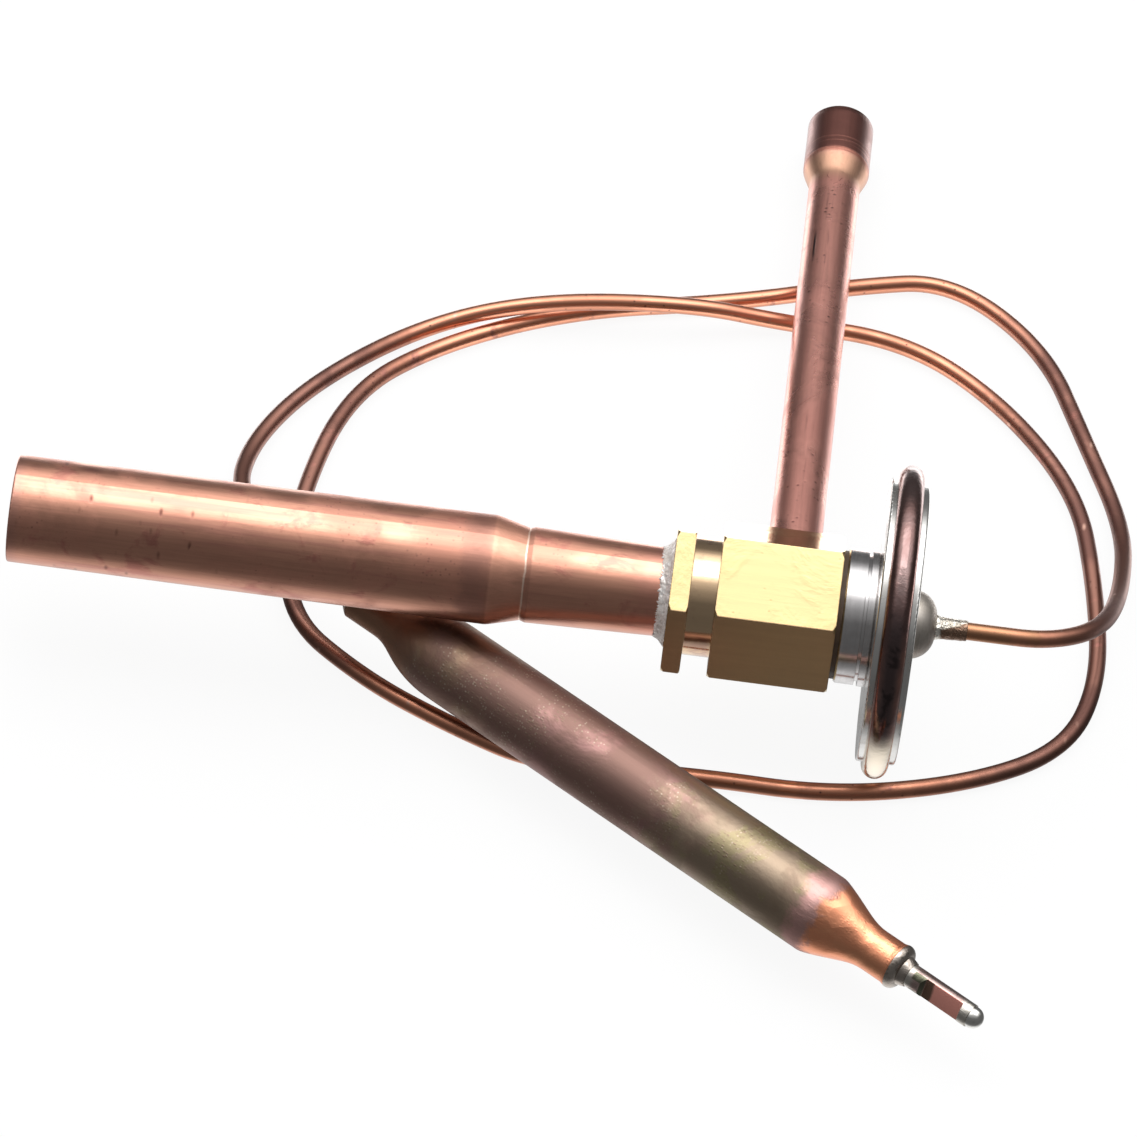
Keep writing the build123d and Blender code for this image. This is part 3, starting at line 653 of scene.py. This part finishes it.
def bulb_finish():
    """Copper tinted by heat: brown, mauve and olive in turn, and bare orange at the near cone."""
    finish = Finish("bulb_heat_tinted_copper")
    finish.turn(bulb_start, bulb_turn)
    lines = finish.effect("drawn_lines", Fineness=1400.0)
    streaks = finish.effect("drawn_lines", Fineness=300.0)
    haze = finish.effect("clouding", Scale=70.0, From=0.38, To=0.62)
    patches = finish.effect("clouding", Scale=120.0, From=0.44, To=0.60)
    specks = finish.effect("pits", Scale=1900.0, Size=0.50, Share=0.66)
    dents = finish.effect("pits", Scale=250.0, Size=0.85, Share=0.0)
    grainy = finish.effect("pits", Scale=2400.0, Size=0.60, Share=0.40, Stretch=(0.5, 1.0, 1.0))
    mauve = finish.effect("length_band", Start=0.020, End=0.066, Blur=0.012, Wobble=0.02)
    olive = finish.effect("length_band", Start=0.058, End=0.0885, Blur=0.010, Wobble=0.02)
    fringe = finish.effect("length_band", Start=0.0850, End=0.0905, Blur=0.0014, Wobble=0.006)
    bright = finish.effect("length_band", Start=0.0895, End=0.12, Blur=0.0010, Wobble=0.006)
    near = finish.effect("length_band", Start=-0.05, End=-0.002, Blur=0.004, Wobble=0.006)
    greened = finish.both(olive, finish.between(patches, 0.2, 0.9))
    dusty = finish.both(specks, patches)
    mottled = finish.both(grainy, patches)
    top = finish.colour(
        rgb(0.315, 0.195, 0.135),
        (patches, rgb(0.37, 0.260, 0.175)),
        (mauve, rgb(0.36, 0.200, 0.185)),
        (haze, rgb(0.290, 0.175, 0.145)),
        (olive, rgb(0.34, 0.260, 0.190)),
        (greened, rgb(0.34, 0.280, 0.170)),
        (mottled, rgb(0.29, 0.205, 0.150)),
        (dusty, rgb(0.50, 0.40, 0.32)),
        (near, rgb(0.36, 0.195, 0.125)),
        (fringe, rgb(0.56, 0.330, 0.30)),
        (bright, rgb(1.0, 0.41, 0.23)),
    )
    finish.shade(top, streaks, 0.90, 1.10)
    finish.rough(haze, 0.46, 0.56, mask=bright, masked=0.33)
    hammered = finish.both(dents, bright)
    finish.relief(
        (lines, 0.012),
        (haze, 0.06),
        (mottled, 0.02),
        (hammered, -0.13),
        rounding=0.0008,
    )
    return finish.material


def body_finish():
    finish = Finish("body_brass")
    finish.turn(valve_line)
    lines = finish.effect("drawn_lines", Fineness=900.0)
    haze = finish.effect("clouding", Scale=90.0, From=0.45, To=0.7)
    nicks = finish.effect("pits", Scale=800.0, Size=0.26, Share=0.93)
    neck = finish.effect("length_band", Start=-0.0155, End=-0.0107, Blur=0.0002)
    neck_patches = finish.effect("clouding", Scale=210.0, From=0.48, To=0.66)
    neck_stain_and_painted_reflection = finish.both(neck, neck_patches)
    front = finish.along(-inlet_way)
    front_flat_painted_shade = finish.between(front, hex_flat - 0.00020, hex_flat - 0.00012)
    top = finish.colour(
        rgb(0.74, 0.555, 0.285),
        (haze, rgb(0.68, 0.500, 0.245)),
        # The hex's front flat is painted darker: painted shade, as that face mirrors the dark
        # space in front
        (front_flat_painted_shade, rgb(0.52, 0.355, 0.20)),
        # The neck's redder tint is a painted reflection of the copper bulb; its browner patches
        # are partly stains and partly that painted reflection
        (neck, rgb(0.76, 0.54, 0.34)),
        (neck_stain_and_painted_reflection, rgb(0.54, 0.34, 0.25)),
        (nicks, rgb(0.56, 0.41, 0.19)),
    )
    finish.shade(top, lines, 0.95, 1.03)
    finish.rough(haze, 0.13, 0.22, mask=front_flat_painted_shade, masked=0.46)
    finish.relief((lines, 0.004), (nicks, -0.006), (haze, 0.02), rounding=0.00028)
    return finish.material


def turned_finish(name, colour, dark, roughness, fineness=4000.0, relief=0.006):
    """Lathe-turned metal: rings round the valve's line, and on its faces."""
    finish = Finish(name)
    finish.turn(valve_line)
    rings = finish.effect("turned_rings", Fineness=fineness)
    faced = finish.effect("faced_rings", Fineness=fineness)
    haze = finish.effect("clouding", Scale=160.0, From=0.45, To=0.7)
    top = finish.colour(colour, (haze, dark))
    finish.shade(top, rings, 0.93, 1.05)
    finish.rough(faced, roughness * 0.8, roughness * 1.3)
    finish.relief((rings, relief), (faced, relief), rounding=0.00015)
    return finish.material


def cup_finish():
    finish = Finish("pressed_cup_steel")
    finish.turn(valve_line)
    haze = finish.effect("clouding", Scale=120.0, From=0.45, To=0.65)
    faced = finish.effect("faced_rings", Fineness=2200.0)
    top = finish.colour(rgb(0.72, 0.71, 0.69), (haze, rgb(0.60, 0.58, 0.55)))
    finish.shade(top, faced, 0.94, 1.04)
    finish.rough(haze, 0.18, 0.28)
    finish.relief((faced, 0.004), (haze, 0.01))
    return finish.material


def rim_finish():
    """Weld bead in a dark heat tint, with painted light: shade on its lower crown, a highlight on
    its upper crown, sheen on its lower edges and a reflection of the table at its foot.
    """
    finish = Finish("rim_weld_tint_and_painted_light")
    finish.turn(valve_line)
    haze = finish.effect("clouding", Scale=90.0, From=0.38, To=0.62)
    ripple = finish.effect("clouding", Scale=700.0, From=0.3, To=0.7)
    blotches = finish.effect("clouding", Scale=260.0, From=0.50, To=0.62)
    crown = finish.effect("length_band", Start=0.0196, End=0.0220, Blur=0.0008, Wobble=0.0006)
    height = finish.along(up)
    lower_part = finish.between(height, 0.0250, 0.0205)
    foot = finish.between(height, 0.0035, -0.0030)
    crown_painted_shade = finish.both(crown, lower_part)
    finish.colour(
        rgb(0.190, 0.095, 0.080),
        # Lighter in the lower part: painted sheen on the bead's lower edges
        (lower_part, rgb(0.38, 0.190, 0.150)),
        # The crown's lighter tint is a painted highlight where it shows higher up
        (crown, rgb(0.300, 0.215, 0.205)),
        (haze, rgb(0.210, 0.125, 0.115)),
        # Painted shade along the crown in the lower part, with darker blotches in it
        (crown_painted_shade, rgb(0.120, 0.085, 0.085)),
        (finish.both(blotches, crown_painted_shade), rgb(0.060, 0.045, 0.045)),
        # The pale foot is a painted reflection of the white table
        (foot, rgb(1.0, 0.88, 0.72)),
    )
    finish.rough(haze, 0.11, 0.19)
    finish.relief((ripple, 0.014), (haze, 0.03))
    return finish.material


def filler_finish(name, colour, dark, roughness, grain, relief, metallic=1.0):
    """Filler metal or solder: a grainy skin that froze as it ran."""
    finish = Finish(name, metallic=metallic)
    frost = finish.effect("clouding", Scale=grain, From=0.35, To=0.68)
    haze = finish.effect("clouding", Scale=grain * 0.3, From=0.42, To=0.64)
    grains = finish.effect("pits", Scale=grain * 3.0, Size=0.5, Share=0.55)
    finish.colour(colour, (frost, dark), (haze, colour), (grains, dark))
    finish.rough(frost, roughness * 0.8, roughness * 1.35)
    finish.relief((frost, relief), (haze, relief * 1.3), (grains, -relief * 0.4))
    return finish.material


# The filler's edge on the sleeve lies across this way, with the silver on its far side
silvered_way = (-0.357, 0.777, 0.63)


def sleeve_finish():
    """Silver filler run along the capillary's upper side, with bare tube below its uneven edge."""
    finish = Finish("sleeve_filler")
    finish.turn(valve_line)
    frost = finish.effect("clouding", Scale=900.0, From=0.36, To=0.64)
    specks = finish.effect("pits", Scale=2200.0, Size=0.5, Share=0.55)
    tip = finish.effect("length_band", Start=0.0290, End=0.05, Blur=0.0005, Wobble=0.004)
    off_edge = finish.along(silvered_way)
    uneven = finish.both(frost, 0.0003)
    lower = finish.between(maths(finish.tree, "ADD", off_edge, uneven), -0.01045, -0.01080)
    bead = finish.effect("length_band", Start=0.0275, End=0.0292, Blur=0.0002, Wobble=0.0008)
    bare = finish.both(tip, lower)
    finish.colour(
        rgb(0.80, 0.76, 0.68),
        (frost, rgb(0.52, 0.46, 0.38)),
        (specks, rgb(0.26, 0.20, 0.16)),
        (bare, rgb(0.27, 0.17, 0.12)),
        (bead, rgb(0.92, 0.88, 0.80)),
    )
    finish.rough(frost, 0.26, 0.42)
    finish.relief((frost, 0.08), (specks, -0.04))
    return finish.material


def stub_finish():
    """Copper tube tinned by the solder where it leaves the ring, with a bare pinched flat, and
    painted shade on its ramp and in its corner.
    """
    finish = Finish("charging_stub_copper")
    finish.turn(bulb_start, bulb_turn)
    haze = finish.effect("clouding", Scale=260.0, From=0.42, To=0.62)
    streaks = finish.effect("drawn_lines", Fineness=700.0)
    tinned = finish.effect("length_band", Start=0.10, End=0.1086, Blur=0.0007, Wobble=0.003)
    ramp = finish.effect("length_band", Start=0.1085, End=0.1110, Blur=0.0002)
    corner = finish.effect("length_band", Start=0.1106, End=0.1126, Blur=0.0003, Wobble=0.001)
    tip = finish.effect("length_band", Start=0.1185, End=0.13, Blur=0.0006, Wobble=0.002)
    raised = finish.along(pinch_way_on_bulb)
    inside = finish.between(raised, 0.00195, 0.00180)
    facing = finish.between(raised, 0.00070, 0.00080)
    pinched = finish.both(inside, facing)
    floor = finish.effect("length_band", Start=0.1110, End=0.1188, Blur=0.0001)
    on_floor = finish.between(raised, pinch_floor + 0.00007, pinch_floor + 0.00002)
    floor = finish.both(floor, on_floor)
    floor = finish.both(floor, facing)
    finish.colour(
        rgb(0.50, 0.37, 0.34),
        (haze, rgb(0.40, 0.29, 0.265)),
        (maths(finish.tree, "MAXIMUM", tinned, tip), rgb(0.62, 0.585, 0.53)),
        # Painted shade on the sloping ramp into the pinched flat
        (finish.both(ramp, pinched), rgb(0.13, 0.13, 0.09)),
        (floor, rgb(0.88, 0.46, 0.39)),
        # Painted shade in the corner where the flat meets its ramp
        (finish.both(corner, floor), rgb(0.22, 0.14, 0.10)),
    )
    finish.rough(haze, 0.20, 0.32, mask=floor, masked=0.75)
    finish.relief((haze, 0.03), (streaks, 0.02))
    return finish.material


def seal_finish():
    finish = Finish("seal_rubber", metallic=0.0)
    grain = finish.effect("clouding", Scale=900.0, From=0.3, To=0.7)
    finish.colour(rgb(0.070, 0.042, 0.026), (grain, rgb(0.11, 0.07, 0.045)))
    finish.rough(grain, 0.5, 0.7)
    finish.relief((grain, 0.01))
    return finish.material


def spring_finish():
    finish = Finish("spring_wire_steel")
    grain = finish.effect("clouding", Scale=600.0, From=0.4, To=0.6)
    finish.colour(rgb(0.50, 0.50, 0.50), (grain, rgb(0.40, 0.39, 0.38)))
    finish.rough(grain, 0.2, 0.32)
    finish.relief((grain, 0.01))
    return finish.material


def strainer_finish():
    """Woven wire: two sets of fine lines that cross."""
    finish = Finish("strainer_wire")
    finish.turn(inlet_line, inlet_turn)
    heights = []
    for direction in ("X", "DIAGONAL"):
        weave = finish.tree.nodes.new("ShaderNodeTexWave")
        weave.bands_direction = direction
        plug(finish.tree, weave, {"Vector": finish.where, "Scale": 900.0})
        heights.append((weave.outputs["Fac"], 0.04))
    finish.colour(rgb(0.62, 0.60, 0.56), (heights[0][0], rgb(0.30, 0.29, 0.27)))
    finish.rough(heights[1][0], 0.3, 0.45)
    finish.relief(*heights)
    return finish.material


steel_bright = rgb(0.62, 0.60, 0.60)
steel_dull = rgb(0.50, 0.48, 0.475)
finishes = {
    "outlet_tube": outlet_tube_finish(),
    "inlet_tube": inlet_tube_finish(),
    "capillary_tube": capillary_finish(),
    "bulb_shell": bulb_finish(),
    "valve_body": body_finish(),
    "head_collar": turned_finish("collar_steel", steel_bright, steel_dull, roughness=0.16),
    "lower_cup": cup_finish(),
    "rim_weld": rim_finish(),
    "dome_boss": turned_finish(
        "dome_steel",
        rgb(0.52, 0.475, 0.43),
        rgb(0.34, 0.30, 0.25),
        roughness=0.46,
        fineness=2600.0,
        relief=0.012,
    ),
    "outlet_braze": filler_finish(
        "silver_filler",
        rgb(0.90, 0.87, 0.85),
        rgb(0.62, 0.56, 0.52),
        roughness=0.50,
        grain=900.0,
        relief=0.05,
        metallic=0.55,
    ),
    "capillary_braze": sleeve_finish(),
    "bulb_neck_solder": filler_finish(
        "neck_solder",
        rgb(0.50, 0.44, 0.39),
        rgb(0.24, 0.20, 0.17),
        roughness=0.20,
        grain=420.0,
        relief=0.03,
    ),
    "charging_stub": stub_finish(),
    "stub_ball": filler_finish(
        "bright_solder",
        rgb(0.80, 0.79, 0.76),
        rgb(0.66, 0.65, 0.62),
        roughness=0.07,
        grain=420.0,
        relief=0.012,
    ),
    "orifice_seat": turned_finish(
        "seat_steel",
        rgb(0.64, 0.63, 0.62),
        rgb(0.52, 0.51, 0.50),
        roughness=0.2,
    ),
    "pin_carrier": turned_finish(
        "carrier_brass",
        rgb(0.84, 0.70, 0.36),
        rgb(0.72, 0.58, 0.28),
        roughness=0.24,
    ),
    "superheat_spring": spring_finish(),
    "collar_gasket": seal_finish(),
    "inlet_strainer": strainer_finish(),
}
same_finish = {
    "upper_cup": "lower_cup",
    "diaphragm": "lower_cup",
    "inlet_braze": "outlet_braze",
    "stub_solder": "bulb_neck_solder",
    "valve_pin": "orifice_seat",
    "push_rod_1": "orifice_seat",
    "push_rod_2": "orifice_seat",
    "spring_retainer": "pin_carrier",
    "buffer_plate": "pin_carrier",
}


def copy_of(node_name, piece_name):
    """A copy of a solid's mesh, made whole, to be worked on in place of the solid."""
    bpy.ops.object.select_all(action="DESELECT")
    node = frame["nodes"][node_name]
    node.select_set(True)
    bpy.context.view_layer.objects.active = node
    bpy.ops.object.duplicate()
    piece = bpy.context.object
    piece.name = piece_name
    del piece["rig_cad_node"]
    bpy.ops.object.parent_clear(type="CLEAR_KEEP_TRANSFORM")
    bpy.ops.object.mode_set(mode="EDIT")
    bpy.ops.mesh.select_all(action="SELECT")
    bpy.ops.mesh.remove_doubles(threshold=0.000002)
    bpy.ops.mesh.customdata_custom_splitnormals_clear()
    bpy.ops.mesh.normals_make_consistent(inside=False)
    bpy.ops.object.mode_set(mode="OBJECT")
    return piece


def apply_modifiers(piece):
    for modifier in list(piece.modifiers):
        bpy.ops.object.modifier_apply(modifier=modifier.name)


def stand_in(piece, node_name):
    """Let a worked piece take a solid's place."""
    piece.data.materials.clear()
    piece.data.materials.append(finishes[same_finish.get(node_name, node_name)])
    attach(piece, "valve")
    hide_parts(node_name)


def run_filler(node_name, piece_name, cell, lump, height):
    """Filler metal with the lumpy skin that it froze with."""
    piece = copy_of(node_name, piece_name)
    whole = piece.modifiers.new("whole", "REMESH")
    whole.mode = "VOXEL"
    whole.voxel_size = cell
    lumps = bpy.data.textures.new(piece_name, "CLOUDS")
    lumps.noise_scale = lump
    lumps.noise_depth = 2
    skin = piece.modifiers.new("skin", "DISPLACE")
    skin.texture = lumps
    skin.texture_coords = "LOCAL"
    skin.strength = height
    skin.mid_level = 0.4
    apply_modifiers(piece)
    bpy.ops.object.shade_smooth()
    stand_in(piece, node_name)


def pinch_stub():
    """Charging stub with the flat that the pinching tool pressed into its side."""
    stub = copy_of("charging_stub", "pinched_stub")
    bpy.ops.object.select_all(action="DESELECT")
    bpy.ops.mesh.primitive_cube_add(size=1.0, location=(0.0, 0.0, 0.0))
    jaw = bpy.context.object
    jaw.name = "pinching_jaw"
    across = pinch_way.cross(bulb_way)
    clear = stub_radius * 2.0
    floor_ends = (pinch_start + pinch_lead, pinch_end - pinch_rise)
    mouth_ends = (pinch_start, pinch_end)
    for corner in jaw.data.vertices:
        on_floor = corner.co.z < 0.0
        ends = floor_ends if on_floor else mouth_ends
        along = ends[1] if corner.co.x > 0.0 else ends[0]
        height = pinch_floor if on_floor else clear
        aside = clear if corner.co.y > 0.0 else -clear
        corner.co = bulb_start + bulb_way * along + pinch_way * height + across * aside
    bpy.ops.object.mode_set(mode="EDIT")
    bpy.ops.mesh.select_all(action="SELECT")
    bpy.ops.mesh.normals_make_consistent(inside=False)
    bpy.ops.object.mode_set(mode="OBJECT")
    bpy.ops.object.select_all(action="DESELECT")
    stub.select_set(True)
    bpy.context.view_layer.objects.active = stub
    cut = stub.modifiers.new("flat", "BOOLEAN")
    cut.operation = "DIFFERENCE"
    cut.object = jaw
    cut.solver = "EXACT"
    soft = stub.modifiers.new("soft_edges", "BEVEL")
    soft.width = 0.00012
    soft.segments = 3
    soft.limit_method = "ANGLE"
    soft.angle_limit = math.radians(20.0)
    apply_modifiers(stub)
    bpy.ops.object.shade_smooth_by_angle(angle=math.radians(30.0))
    bpy.data.objects.remove(jaw)
    stand_in(stub, "charging_stub")


for name, node in frame["nodes"].items():
    node.data.materials.clear()
    node.data.materials.append(finishes[same_finish.get(name, name)])

run_filler("outlet_braze", "outlet_filler", cell=0.00016, lump=0.0010, height=0.00045)
run_filler("inlet_braze", "inlet_filler", cell=0.00012, lump=0.0008, height=0.00030)
run_filler("capillary_braze", "sleeve_filler", cell=0.00009, lump=0.0008, height=0.00020)
pinch_stub()

# Spring: a copy of the solid at rest, smoothly shaded, on a mesh of its own
spring_coil = copy_of("superheat_spring", "spring_coil")
bpy.ops.object.shade_smooth_by_angle(angle=math.radians(40.0))
stand_in(spring_coil, "superheat_spring")
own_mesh(spring_coil)

capillary.data.materials.append(finishes["capillary_tube"])
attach(capillary, "valve")
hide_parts("capillary_tube")


# Light table and light tent. What polished metal sees of the table is bright where it looks
# steeply down, or back past the object, and dims towards the front edge, as in the photograph.
table_front = [(0.0, 1.10), (0.10, 0.85), (0.20, 0.45), (0.31, 0.26), (0.46, 0.14), (1.0, 0.12)]
table_back = [
    (0.0, 1.10),
    (0.35, 1.60),
    (0.50, 3.20),
    (0.60, 3.20),
    (0.70, 0.45),
    (0.80, 0.18),
    (1.0, 0.14),
]
tent = [
    (0.0, 0.12),
    (0.22, 0.15),
    (0.35, 0.38),
    (0.44, 0.80),
    (0.49, 1.80),
    (0.74, 2.00),
    (0.82, 0.60),
    (0.88, 0.20),
    (1.0, 0.15),
]
tent_side = 0.14
ramp_top = 4.0
table_grey = 0.92
glow_to_camera = 0.92


def level_ramp(tree, value, stops):
    """Brightness along a row of (place, level) stops."""
    ramp = tree.nodes.new("ShaderNodeValToRGB")
    row = ramp.color_ramp.elements
    while len(row) < len(stops):
        row.new(0.5)
    for stop, (place, level) in zip(row, stops):
        stop.position = place
        share = level / ramp_top
        stop.color = rgb(share, share, share)
    plug(tree, ramp, {"Fac": value})
    return maths(tree, "MULTIPLY", ramp.outputs["Color"], ramp_top)


def lay_table():
    """White under the camera, and to polished metal as bright as the ramps say."""
    bpy.ops.mesh.primitive_plane_add(size=6.0, location=(0.0, 0.0, 0.0))
    table = bpy.context.object
    table.name = "light_table"
    material = bpy.data.materials.new("light_table_white")
    material.use_nodes = True
    tree = material.node_tree
    tree.nodes.clear()
    matt = tree.nodes.new("ShaderNodeBsdfDiffuse")
    matt.inputs["Color"].default_value = rgb(table_grey, table_grey, table_grey)
    coordinates = tree.nodes.new("ShaderNodeTexCoord")
    parts = tree.nodes.new("ShaderNodeSeparateXYZ")
    plug(tree, parts, {0: coordinates.outputs["Object"]})
    behind = spread(tree, parts.outputs["Y"], -0.05, 0.0)
    slant = tree.nodes.new("ShaderNodeLayerWeight")
    slant.inputs["Blend"].default_value = 0.5
    facing = slant.outputs["Facing"]
    to_front = level_ramp(tree, facing, table_front)
    to_back = level_ramp(tree, facing, table_back)
    mirrored = blend(tree, behind, to_front, to_back)
    rays = tree.nodes.new("ShaderNodeLightPath")
    camera_ray = rays.outputs["Is Camera Ray"]
    glow = tree.nodes.new("ShaderNodeEmission")
    plug(tree, glow, {"Strength": blend(tree, camera_ray, mirrored, 1.0)})
    glossy = rays.outputs["Is Glossy Ray"]
    reflected = maths(tree, "MAXIMUM", glossy, rays.outputs["Is Transmission Ray"])
    seen = maths(tree, "MULTIPLY", camera_ray, glow_to_camera)
    share = maths(tree, "ADD", seen, reflected, clamp=True)
    mix = tree.nodes.new("ShaderNodeMixShader")
    plug(tree, mix, {0: share, 1: matt.outputs[0], 2: glow.outputs[0]})
    out = tree.nodes.new("ShaderNodeOutputMaterial")
    plug(tree, out, {"Surface": mix.outputs[0]})
    table.data.materials.append(material)


def light_tent():
    """Bright above and behind, dark in front, plain white where the camera looks."""
    world = bpy.data.worlds.new("light_tent")
    bpy.context.scene.world = world
    world.use_nodes = True
    tree = world.node_tree
    tree.nodes.clear()
    coordinates = tree.nodes.new("ShaderNodeTexCoord")
    parts = tree.nodes.new("ShaderNodeSeparateXYZ")
    plug(tree, parts, {0: coordinates.outputs["Generated"]})
    front = maths(tree, "MULTIPLY", parts.outputs["Y"], -1.0)
    angle = maths(tree, "ARCTAN2", parts.outputs["Z"], front)
    level = level_ramp(tree, maths(tree, "DIVIDE", angle, math.pi), tent)
    sideways = spread(tree, maths(tree, "ABSOLUTE", parts.outputs["X"]), 0.55, 0.95)
    lit = tree.nodes.new("ShaderNodeBackground")
    plug(tree, lit, {"Strength": blend(tree, sideways, level, tent_side)})
    lit.inputs["Color"].default_value = rgb(1.0, 1.0, 1.0)
    plain = tree.nodes.new("ShaderNodeBackground")
    plain.inputs["Strength"].default_value = 1.0
    plain.inputs["Color"].default_value = rgb(1.0, 1.0, 1.0)
    rays = tree.nodes.new("ShaderNodeLightPath")
    mix = tree.nodes.new("ShaderNodeMixShader")
    plug(tree, mix, {0: rays.outputs["Is Camera Ray"], 1: lit.outputs[0], 2: plain.outputs[0]})
    out = tree.nodes.new("ShaderNodeOutputWorld")
    plug(tree, out, {"Surface": mix.outputs[0]})


def hang_lamp(name, place, aim, size, power):
    lamp = bpy.data.objects.new(name, bpy.data.lights.new(name, "AREA"))
    bpy.context.scene.collection.objects.link(lamp)
    lamp.data.shape = "RECTANGLE"
    lamp.data.size, lamp.data.size_y = size
    lamp.data.energy = power
    lamp.location = place
    lamp.rotation_mode = "QUATERNION"
    lamp.rotation_quaternion = (Vector(aim) - Vector(place)).to_track_quat("-Z", "Y")


lay_table()
light_tent()
hang_lamp(
    "softbox_above",
    place=(0.0, 0.25, 1.0),
    aim=(0.0, -0.03, 0.0),
    size=(1.0, 0.6),
    power=4.0,
)

bpy.context.scene.view_settings.view_transform = "Standard"
